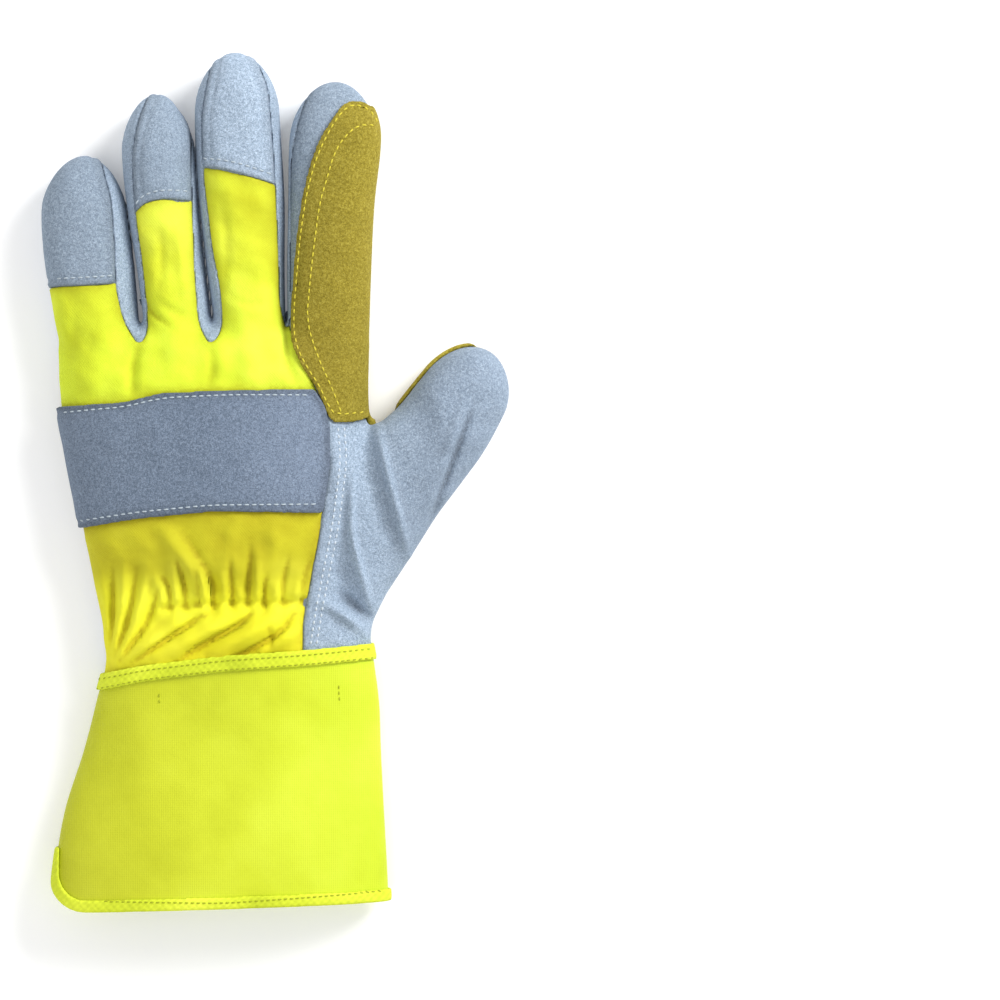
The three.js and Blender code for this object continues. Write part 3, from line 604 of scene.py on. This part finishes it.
# Painted shade across the cuff: darkest at the left, away from the key light on the right.
CANVAS_PAINTED_SHADE = [(60, (0.7, 0.66, 0.8)), (150, (0.84, 0.82, 0.9)), (300, (0.86, 0.9, 0.97)),
                 (380, (0.8, 0.88, 0.95))]
YELLOW = twill("yellow_twill", lin(206, 202, 34), lin(226, 228, 50), lin(238, 242, 70), 52, 560,
               shades=YELLOW_DYE_AND_PAINTED_SHADE)
CANVAS = twill("rubberised_canvas", lin(202, 211, 32), lin(214, 224, 42), lin(222, 233, 54), 0, 520,
               0.6, 0.25, 0.15, CANVAS_PAINTED_SHADE, "X")
TAPE = twill("twill_tape", lin(186, 200, 40), lin(208, 221, 50), lin(228, 238, 68), 45, 200, 0.8, 0.7)


def thread(name, colour):
    n = Nodes(name)
    twist = n.noise(2200, 2, 0.5)
    tone = n.ramp(twist, [(0.3, tuple(0.8 * c for c in colour)), (0.7, colour)])
    return n.finish(tone, n.bump(twist, 0.4, 0.0001), 0.7, 0.1, colour, 0.3)


PALE_THREAD = thread("pale_thread", lin(184, 196, 204))
YELLOW_THREAD = thread("yellow_thread", lin(214, 200, 62))
WHITE_THREAD = thread("white_thread", lin(208, 218, 226))
LIME_THREAD = thread("lime_thread", lin(168, 176, 30))

# Outlines in plan, in grid squares.
FOURCHETTES = {
    "little_ring": [(98, 150), (113, 200), (117, 250), (118, 288), (125, 321), (133, 336), (142, 347),
                    (150, 334), (147, 288), (142, 250), (137, 210), (134, 160), (140, 124), (152, 85)],
    "ring_middle": [(180, 85), (191, 125), (193, 202), (196, 275), (200, 322), (206, 338), (214, 347),
                    (224, 330), (223, 300), (214, 250), (205, 180), (203, 120), (216, 40)],
    "middle_index": [(248, 40), (269, 90), (274, 150), (276, 186), (279, 250), (280, 303), (283, 318),
                     (287, 332), (292, 318), (291, 300), (291, 240), (292, 160), (299, 125), (316, 70)],
}
CAPS = {
    "little": [(20, 291), (56, 288), (90, 287), (121, 285), (121, 120), (20, 120)],
    "ring": [(118, 222), (136, 216), (143, 208), (150, 204), (165, 201), (198, 203), (198, 60), (118, 60)],
    "middle": [(196, 168), (214, 170), (232, 173), (255, 180), (286, 189), (290, 20), (190, 20)],
}
INDEX_BACK = [(289, 40), (288, 322), (316, 387), (331, 421), (372, 420), (420, 400), (420, 40)]
THUMB_BACK = [(322, 412), (328, 440), (330, 465), (326, 489), (323, 525), (318, 550), (311, 586),
              (305, 622), (303, 700), (560, 700), (560, 300), (420, 300), (383, 419)]
FRONT_SEAM = [(139, 300), (149, 311), (151, 327), (162, 338), (181, 337), (215, 332), (238, 336),
              (268, 340), (284, 333), (287, 312)]
FRONTS = FRONT_SEAM + [(287, 10), (118, 10), (118, 140), (125, 190), (132, 240)]
STRAP = [(20, 409), (62, 407), (127, 403), (165, 394), (231, 391), (316, 390), (327, 407), (332, 428),
         (332, 465), (329, 489), (325, 513), (214, 512), (141, 519), (84, 528), (20, 532)]
INDEX_WRAP = [(388, 126), (379, 113), (368, 104), (356, 101), (343, 106), (334, 121), (324, 135),
              (314, 157), (307, 181), (302, 205), (297, 242), (294, 278), (291, 315), (292, 344),
              (304, 370), (317, 387), (326, 409), (333, 424), (342, 424), (366, 421), (373, 412),
              (388, 402)]
PALM_PATCH = [(65, 353), (169, 347), (238, 341), (300, 342), (306, 322), (306, 303), (292, 282),
              (292, 160), (300, 128), (312, 106), (335, 99), (358, 101), (388, 110), (405, 240),
              (392, 396), (374, 416), (378, 430), (388, 423), (399, 398), (440, 320), (472, 344),
              (492, 354), (500, 374), (500, 398), (486, 428), (457, 472), (426, 518), (399, 558),
              (372, 592), (341, 603), (295, 607), (204, 609), (103, 609), (92, 545), (83, 500), (74, 455),
              (66, 410)]
VEIN_PATCH = [(111, 657), (150, 643), (185, 631), (222, 629), (240, 633), (255, 645), (300, 657),
              (299, 690), (290, 724), (278, 737), (222, 742), (160, 747), (125, 739), (112, 720)]
WRIST_SEAM = [(40, 688), (104, 681), (146, 672), (226, 662), (304, 657), (371, 651), (480, 640), (600, 634)]

# Gathers of the wrist: the station x and the share of the full height.
GATHER_X = [(166, 0.9), (181, 1.2), (195, 0.7), (208, 1.4), (227, 1.3), (243, 0.8), (259, 1.4),
            (277, 1.0), (296, 0.8)]
# The sunk line that the gathers are sewn to.
ELASTIC = [(165, 607), (200, 604), (240, 602), (280, 602), (312, 600)]
# Other folds: the fold's line, its half width and its height in millimetres.
LARGE_FOLDS = [
    ([(158, 520), (180, 550), (203, 578), (213, 606)], 3.0, 2.4),
    ([(186, 534), (208, 566), (223, 596)], 1.6, -1.6),
    ([(100, 560), (108, 610), (112, 656)], 1.8, 1.3),
    ([(128, 560), (124, 610), (114, 658)], 1.8, 1.9),
    ([(150, 565), (142, 615), (118, 660)], 1.8, 2.0),
    ([(115, 562), (115, 615), (112, 656)], 1.0, -1.5),
    ([(139, 568), (133, 615), (115, 660)], 1.0, -1.6),
    ([(163, 580), (154, 618), (122, 660)], 1.0, -1.8),
    ([(196, 614), (168, 632), (122, 663)], 2.6, 2.8),
    ([(242, 612), (206, 632), (152, 661)], 3.0, 3.3),
    ([(284, 612), (256, 630), (208, 658)], 2.8, 3.1),
    ([(304, 622), (286, 638), (258, 654)], 2.3, 2.3),
    ([(218, 607), (182, 630), (134, 662)], 1.15, -2.6),
    ([(262, 606), (240, 626), (214, 638), (180, 660)], 1.2, -2.8),
    ([(299, 607), (286, 630), (262, 644), (234, 658)], 1.1, -2.3),
    ([(270, 622), (274, 636), (270, 652)], 1.0, -1.3),
    ([(236, 518), (232, 548), (238, 580)], 3.0, 1.1),
    ([(272, 518), (278, 545), (270, 580)], 2.6, 1.1),
    ([(252, 540), (254, 565), (250, 596)], 1.2, -1.2),
    ([(146, 300), (154, 316), (176, 330)], 1.1, -0.8),
    ([(160, 225), (166, 262), (160, 300)], 1.6, -0.7),
    ([(178, 222), (184, 262), (190, 310)], 1.6, 0.6),
    ([(222, 196), (230, 240), (226, 290)], 1.8, -0.6),
    ([(74, 300), (78, 330), (72, 372)], 2.4, -0.8),
]
KNUCKLE_FOLDS = [
    ([(141, 345), (134, 372), (137, 400)], 1.8, -1.6),
    ([(213, 348), (216, 372), (210, 392)], 1.8, -1.2),
    ([(287, 330), (287, 360), (300, 388)], 1.8, -1.8),
    ([(104, 318), (100, 360), (98, 404)], 3.6, 0.9),
    ([(172, 330), (176, 360), (170, 396)], 4.0, 0.9),
    ([(250, 330), (252, 360), (246, 394)], 4.0, 0.9),
    ([(160, 300), (172, 312), (190, 316)], 1.5, -0.7),
    ([(228, 296), (246, 306), (268, 304)], 1.5, -0.6),
]
THUMB_FOLDS = [
    ([(376, 424), (390, 478), (402, 524), (410, 556)], 1.8, 2.9),
    ([(366, 450), (382, 510), (397, 558)], 3.2, -1.7),
    ([(354, 468), (353, 533), (361, 565), (372, 612)], 1.8, 2.9),
    ([(338, 540), (345, 580), (360, 618)], 3.2, -2.0),
    ([(334, 430), (341, 480), (336, 540)], 2.2, 1.2),
    ([(474, 405), (464, 432), (446, 480), (428, 526)], 1.2, -1.9),
    ([(466, 400), (456, 432), (438, 478)], 1.8, 1.2),
    ([(318, 600), (345, 611), (368, 634)], 2.0, 2.6),
    ([(334, 588), (352, 602), (374, 620)], 2.2, -2.0),
    ([(432, 388), (446, 420), (440, 456)], 4.0, 1.0),
]


def gather_rows():
    rows = []
    for k, (x, height) in enumerate(GATHER_X):
        lean = (x - 240) * 0.16
        rise = 30 + 16 * math.sin(2.3 * k)
        rows.append(([(x + lean * 0.7, 602 - rise), (x, 602), (x - 4, 602 + 0.4 * rise)], 1.9, 1.8 * height))
        low = 562 + 12 * math.cos(2.1 * k)
        rows.append(([(x + 8 + lean, low), (x + 7, 584), (x + 8, 612)], 0.95, -1.3 * height))
    return rows


# Plan gap between neighbouring pieces, in millimetres.
PIECE_GAP = 0.03


def groove(grid, points, half, depth):
    return depth * np.exp(-((line_distance(grid, rounded_outline(points, 2.0, closed=False)) / half) ** 2))


def wrist_split(grid, side, gap=0.15):
    """Negative on the hand's side, or on the cuff's side, of the wrist seam."""
    far = -100 if side == "hand" else 1200
    return region(grid, WRIST_SEAM + [(600, far), (40, far)], 2.0) + gap


# The hand, above the side seam.


def back_of_hand():
    g = Grid(38, 338, 160, 690, 8.2, 31, 0.66)
    d = hand(g)
    height = ridges(g, gather_rows() + LARGE_FOLDS + KNUCKLE_FOLDS)
    height = height - groove(g, ELASTIC, 1.5, 1.6)
    waves = [(17, 80, 0.4, 0.3), (11, 15, 1.3, 0.18), (26, 130, 2.2, 0.35), (7, 60, 0.8, 0.08)]
    height = height + ripple(g, waves)
    calm = np.clip((region(g, STRAP)[..., 0] + 1.0) / 4.0, 0, 1)
    d = d - upper(g, height * calm)
    inside = wrist_split(g, "hand")
    for outline in list(FOURCHETTES.values()) + list(CAPS.values()) + [INDEX_BACK, THUMB_BACK]:
        inside = np.maximum(inside, PIECE_GAP - region(g, outline, 2.0))
    f = np.maximum(overlap(wall(d, -1.9, 0.0), inside, 0.5), above_seam(g))
    seams = np.maximum(inside, -region(g, STRAP))
    soft_piece("back_fabric", f, g, YELLOW, seams, height)


def finger_caps():
    boxes = {"little": (36, 136, 140, 300), "ring": (112, 212, 85, 235), "middle": (186, 296, 42, 200)}
    for name, (left, right, top, bottom) in boxes.items():
        g = Grid(left, right, top, bottom, 8.2, 25, 0.5)
        d = hand(g, (name,), trunk=False)
        inside = region(g, CAPS[name], 2.0)
        for outline in FOURCHETTES.values():
            inside = np.maximum(inside, PIECE_GAP - region(g, outline, 2.0))
        height = ripple(g, [(15, 30, 0.5 + left, 0.16), (8, 110, 1.1 + left, 0.08)])
        d = d - upper(g, height)
        lift = 0.4 - 0.35 * np.exp(-(((inside + 2.6) / 0.8) ** 2))
        f = np.maximum(tucked(d, -1.1, lift, inside, 0.9), above_seam(g))
        soft_piece("cap_" + name, f, g, CAP_GREY[name], inside, height)


def side_strips():
    boxes = {"little_ring": (96, 166, 95, 350), "ring_middle": (176, 232, 60, 350),
             "middle_index": (256, 306, 60, 350)}
    for name, (left, right, top, bottom) in boxes.items():
        g = Grid(left, right, top, bottom, 8.2, 24, 0.55)
        digits = tuple(name.split("_"))
        d = hand(g, digits)
        f = np.maximum(tucked(d, -1.2, -0.1, region(g, FOURCHETTES[name], 2.0)), above_seam(g))
        soft_piece("fourchette_" + name, f, g, GREY)


def index_back():
    g = Grid(280, 384, 66, 430, 8.2, 25, 0.6)
    d = hand(g, ("index",))
    inside = region(g, INDEX_BACK, 2.0)
    for outline in (FOURCHETTES["middle_index"], THUMB_BACK):
        inside = np.maximum(inside, PIECE_GAP - region(g, outline, 2.0))
    f = np.maximum(tucked(d, -1.2, 0.0, inside), above_seam(g))
    soft_piece("index_back", f, g, INDEX_GREY, inside)


def thumb_back():
    g = Grid(298, 516, 332, 690, 8.2, 30, 0.66)
    d = hand(g, ("thumb", "index"))
    height = ridges(g, THUMB_FOLDS) + ripple(g, [(19, 40, 0.2, 0.25), (9, 100, 1.1, 0.12)])
    d = d - upper(g, height)
    inside = np.maximum(region(g, THUMB_BACK, 2.0), wrist_split(g, "hand"))
    f = np.maximum(tucked(d, -1.3, 0.2, inside, 0.9), above_seam(g))
    soft_piece("thumb_back", f, g, THUMB_GREY, inside, height)


def knuckle_strap():
    g = Grid(44, 334, 384, 538, 8.2, 31, 0.6)
    d = hand(g, ("little", "ring", "middle", "index"))
    inside = region(g, STRAP, 0.6)
    sag = ripple(g, [(33, 78, 0.7, 0.3), (14, 20, 2.1, 0.12)])
    edge = 0.35 * np.exp(-(((inside[..., 0] + 2.0) / 0.9) ** 2))
    lift = 1.55 + np.clip(sag, 0, None)[..., None] - edge[..., None]
    f = overlap(wall(d, 0.35, lift), inside, 0.8)
    f = np.maximum(f, above_seam(g))
    soft_piece("knuckle_strap", f, g, STRAP_GREY, inside + 1.0)


# The palm side.


def palm_side():
    g = Grid(38, 516, 70, 690, -0.4, 9.6, 0.95)
    d = hand(g)
    d = d - lower(g, ripple(g, [(23, 60, 0.3, 0.12)]))
    inside = wrist_split(g, "hand")
    inside = np.maximum(inside, PIECE_GAP - region(g, FRONTS, 2.0))
    f = np.maximum(overlap(wall(d, -1.7, 0.0), inside, 0.5), below_seam(g))
    soft_piece("palm_shell", f, g, GREY)


def finger_fronts():
    g = Grid(116, 292, 46, 350, -0.4, 9.6, 0.7)
    d = hand(g, ("little", "ring", "middle", "index"))
    f = np.maximum(overlap(wall(d, -1.3, 0.1), region(g, FRONTS, 2.0), 0.9), below_seam(g))
    soft_piece("finger_fronts", f, g, GREY)


def finger_seam_welt():
    g = Grid(136, 292, 296, 346, -0.6, 8.0, 0.4)
    d = hand(g, ("ring", "middle"))
    line = line_distance(g, rounded_outline(FRONT_SEAM, 3.0, closed=False))[..., None]
    f = np.sqrt(line**2 + (d - 0.6) ** 2) - 0.75
    f = np.maximum(f, g.level - 5.0)
    soft_piece("finger_seam_welt", f, g, GREY)


def palm_patch():
    g = Grid(52, 516, 90, 616, -0.6, 25.5, 0.82)
    d = hand(g)
    below = np.maximum(region(g, PALM_PATCH, 2.5), g.level - SIDE_SEAM - 0.4)
    above = np.maximum(region(g, INDEX_WRAP, 2.0), SIDE_SEAM - 0.4 - g.level)
    inside = np.minimum(below, above)
    edge = 0.3 * np.exp(-(((inside + 1.6) / 0.8) ** 2))
    d = d - upper(g, ripple(g, [(13, 75, 0.4, 0.14), (21, 150, 0.9, 0.18)]))
    f = overlap(wall(d, 0.15, 1.6 - edge * (g.level > SIDE_SEAM)), inside, 0.8)
    seams = np.maximum(region(g, PALM_PATCH), -region(g, INDEX_WRAP))
    soft_piece("palm_patch", f, g, MUSTARD, seams)


def vein_patch():
    g = Grid(100, 308, 622, 754, -0.6, 8.0, 0.6)
    d = hand(g, ())
    inside = region(g, VEIN_PATCH, 2.5)
    f = np.maximum(overlap(wall(d, 1.6, 2.8), inside, 0.8), below_seam(g))
    soft_piece("vein_patch", f, g, GREY)


# The cuff.

MOUTH_CORNER = 39


def cuff_form(grid):
    return hand(grid, ()) - upper(grid, ripple(grid, [(61, 100, 0.9, 0.5), (37, 20, 0.1, 0.2)]))


def above_mouth(grid, inset):
    """Negative above the cuff's mouth, with its rounded corner, drawn in by a distance in millimetres."""
    s = inset / SQUARE
    r = MOUTH_CORNER - s
    left, bottom = 48 + s, 910 - s
    points = [(left - 12, 300), (left - 12, 846), (left, 846)]
    for k in range(9):
        turn = math.pi + math.pi / 2 * k / 8
        points.append((left + r + r * math.cos(turn), bottom - r - r * math.sin(turn)))
    points += [(405, 900 - s), (405, 300)]
    return region(grid, points, 0.3)


def cuff_wall():
    g = Grid(44, 396, 640, 916, -0.4, 26, 0.9)
    d = cuff_form(g)
    inside = np.maximum(wrist_split(g, "cuff"), above_mouth(g, 1.0))
    f = overlap(wall(d, -1.75, 0.0), inside, 0.4)
    soft_piece("cuff_wall", f, g, CANVAS)


def cuff_top_binding():
    g = Grid(84, 388, 630, 702, -0.6, 28, 0.55)
    d = cuff_form(g)
    line = line_distance(g, rounded_outline(WRIST_SEAM, 2.0, closed=False))[..., None]
    f = overlap(wall(d, 0.15, 1.15), line - 2.8, 0.7)
    soft_piece("cuff_top_binding", f, g, TAPE)


def cuff_hem_binding():
    g = Grid(42, 396, 836, 916, -0.6, 27, 0.6)
    d = cuff_form(g)
    band = np.maximum(above_mouth(g, 0), -above_mouth(g, 4.2))
    outside = wall(d, -2.3, 1.1)
    room = np.maximum(wall(d, -1.3, 0.0), above_mouth(g, 0.8))
    f = overlap(outside, band, 0.9)
    f = np.maximum(f, -room)
    soft_piece("cuff_hem_binding", f, g, TAPE)


for build in (back_of_hand, finger_caps, side_strips, index_back, thumb_back, knuckle_strap, palm_side,
              finger_fronts, finger_seam_welt, palm_patch, vein_patch, cuff_wall, cuff_top_binding,
              cuff_hem_binding):
    build()


# Stitches, laid on the finished pieces.

TREES = {}


def tree_of(name):
    if name not in TREES:
        mesh = SOFT[name].data
        faces = [p.vertices[:] for p in mesh.polygons]
        TREES[name] = BVHTree.FromPolygons([v.co[:] for v in mesh.vertices], faces)
    return TREES[name]


def resampled(points, pitch):
    run = np.concatenate([[0], np.cumsum(np.linalg.norm(np.diff(points, axis=0), axis=1))])
    at = np.arange(pitch / 2, run[-1], pitch)
    return np.stack([np.interp(at, run, points[:, k]) for k in range(2)], -1)


def stitches(name, rows, piece, material, pitch=2.4, length=1.6, thick=0.25, under=False):
    """Rows of stitches: each is a short rounded rod that dips into the leather at both ends."""
    points, faces = [], []
    way = Vector((0, 0, 1)) if under else Vector((0, 0, -1))
    thick = min(thick, REST) if under else thick
    out = 0.0 if under else 0.1
    start = -0.1 if under else 0.1
    tree = tree_of(piece)
    for row in rows:
        line = rounded_outline(row, 3.0, closed=False)
        for at in resampled(line, pitch):
            gap = np.linalg.norm(line - at, axis=1)
            k = int(np.clip(np.argmin(gap), 1, len(line) - 2))
            along = Vector((*(line[k + 1] - line[k - 1]), 0)).normalized()
            hit, normal, _, _ = tree.ray_cast(Vector((at[0] / 1000, at[1] / 1000, start)), way)
            if hit is None or abs(normal.z) < 0.15:
                continue
            if normal.dot(way) > 0:
                normal = -normal
            along = (along - normal * along.dot(normal)).normalized()
            side = normal.cross(along)
            first = len(points)
            for s, level, r in ((-0.5, -0.12, 0.55), (-0.25, out, 1), (0.25, out, 1), (0.5, -0.12, 0.55)):
                middle = hit * 1000 + along * (s * length) + normal * level
                for n in range(6):
                    turn = math.tau * n / 6
                    points.append(middle + (side * math.cos(turn) + normal * math.sin(turn)) * (thick * r))
            for ring in range(3):
                for n in range(6):
                    a, b = first + ring * 6 + n, first + ring * 6 + (n + 1) % 6
                    faces.append((a, b, b + 6, a + 6))
            faces.append(tuple(first + n for n in reversed(range(6))))
            faces.append(tuple(first + 18 + n for n in range(6)))
    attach(mesh_object(name, points, faces, material), "root")
    print(f"{name}: {sum(len(f) - 2 for f in faces)} triangles")


def beside(points, shift):
    """A row moved sideways by a number of grid squares, to the left of its direction."""
    p = np.asarray(points, float)
    run = np.gradient(p, axis=0)
    run /= np.linalg.norm(run, axis=1)[:, None]
    return [tuple(q) for q in p + np.stack([run[:, 1], -run[:, 0]], -1) * shift]


# Pitch, length and half thickness of the finer stitches, in millimetres.
FINE = (1.9, 1.3, 0.22)
stitches("stitches_cap_little", [[(58, 280), (90, 279), (115, 277)]], "cap_little", PALE_THREAD)
RING_ROW = [(137, 207), (144, 199), (152, 195), (166, 192), (191, 193)]
stitches("stitches_cap_ring", [RING_ROW], "cap_ring", PALE_THREAD)
THUMB_ROW = [(339, 427), (342, 460), (338, 495), (334, 525), (328, 555), (321, 590), (315, 625), (312, 645)]
stitches("stitches_thumb", [THUMB_ROW, beside(THUMB_ROW, 6)], "thumb_back", WHITE_THREAD, 2.2, 1.2, 0.3)
stitches("stitches_cap_middle", [[(203, 160), (232, 163), (255, 170), (273, 176)]], "cap_middle", PALE_THREAD)
STRAP_TOP = [(64, 413), (128, 408), (166, 399), (232, 396), (311, 396)]
STRAP_LOW = [(80, 521), (141, 512), (214, 505), (318, 504)]
stitches("stitches_strap", [STRAP_TOP, STRAP_LOW], "knuckle_strap", PALE_THREAD)
WRAP_EDGE = [(378, 124), (372, 112), (357, 106), (345, 111), (330, 134), (318, 160), (311, 184),
             (306, 207), (301, 243), (298, 279), (295, 315), (296, 343), (308, 368), (321, 386),
             (330, 408), (338, 416), (366, 412)]
WRAP_SECOND = [(376, 127), (360, 127), (347, 138), (336, 154), (329, 179), (321, 205), (317, 237),
               (313, 268), (308, 322), (319, 358), (334, 390), (342, 412)]
stitches("stitches_wrap", [WRAP_EDGE, WRAP_SECOND], "palm_patch", YELLOW_THREAD)
TOP_ROWS = [[(92, 680), (104, 678), (146, 669), (226, 659), (304, 654), (372, 648)],
            [(90, 690), (104, 687), (146, 678), (226, 668), (304, 663), (373, 657)]]
stitches("stitches_binding", TOP_ROWS, "cuff_top_binding", LIME_THREAD, *FINE)
stitches("stitches_binding_under", TOP_ROWS, "cuff_top_binding", LIME_THREAD, *FINE, under=True)
TICKS = [[(162, 691), (162, 697), (163, 704)], [(340, 683), (340, 692), (341, 702)]]
stitches("stitches_cuff", TICKS, "cuff_wall", LIME_THREAD, *FINE)
HEM_ROW = [(60, 862), (66, 880), (80, 891), (100, 898), (228, 899), (384, 889)]
stitches("stitches_hem", [HEM_ROW], "cuff_hem_binding", LIME_THREAD, *FINE)
stitches("stitches_hem_under", [HEM_ROW], "cuff_hem_binding", LIME_THREAD, *FINE, under=True)
PALM_ROWS = [
    [(66, 358), (169, 352), (238, 346), (303, 347), (311, 322), (311, 300)],
    [(116, 368), (180, 366), (300, 360)],
    [(316, 367), (275, 387), (178, 456), (130, 497), (96, 524)],
    [(70, 390), (105, 417), (178, 456), (220, 484), (279, 520), (318, 541)],
    [(160, 588), (298, 586)],
    [(106, 604), (204, 603), (295, 601), (340, 597)],
    [(297, 596), (303, 570), (308, 540), (314, 520)],
]
stitches("stitches_palm", PALM_ROWS, "palm_patch", YELLOW_THREAD, under=True)
VEIN_ROWS = [[(113, 676), (200, 674), (298, 672)], [(113, 692), (222, 684), (297, 672)],
             [(118, 700), (122, 726), (130, 732), (160, 739), (222, 734), (276, 729), (284, 718),
              (293, 690)]]
stitches("stitches_vein", VEIN_ROWS, "vein_patch", PALE_THREAD, under=True)

# Floor and light.


def floor():
    mesh = bpy.data.meshes.new("floor")
    s = 1.5
    mesh.from_pydata([(-s, -s, 0), (s, -s, 0), (s, s, 0), (-s, s, 0)], [], [(0, 1, 2, 3)])
    m = bpy.data.materials.new("floor_white")
    m.use_nodes = True
    shader = m.node_tree.nodes["Principled BSDF"]
    shader.inputs["Base Color"].default_value = (0.9, 0.9, 0.9, 1)
    shader.inputs["Roughness"].default_value = 0.9
    shader.inputs["Emission Color"].default_value = (1, 1, 1, 1)
    shader.inputs["Emission Strength"].default_value = 0.14
    mesh.materials.append(m)
    o = bpy.data.objects.new("floor", mesh)
    bpy.context.scene.collection.objects.link(o)


def area_light(name, place, target, size, power):
    light = bpy.data.lights.new(name, "AREA")
    light.shape = "SQUARE"
    light.size = size
    light.energy = power
    o = bpy.data.objects.new(name, light)
    o.location = place
    o.rotation_euler = (Vector(target) - Vector(place)).to_track_quat("-Z", "Y").to_euler()
    bpy.context.scene.collection.objects.link(o)


floor()
world = bpy.data.worlds.new("studio")
world.use_nodes = True
world.node_tree.nodes["Background"].inputs["Color"].default_value = (1, 1, 1, 1)
world.node_tree.nodes["Background"].inputs["Strength"].default_value = 0.6
bpy.context.scene.world = world
area_light("key", (0.75, 0.6, 0.62), (-0.02, 0, 0), 0.5, 14)
area_light("fill", (-0.5, -0.4, 1.1), (0, 0, 0), 1.2, 6)
bpy.context.scene.view_settings.view_transform = "Standard"
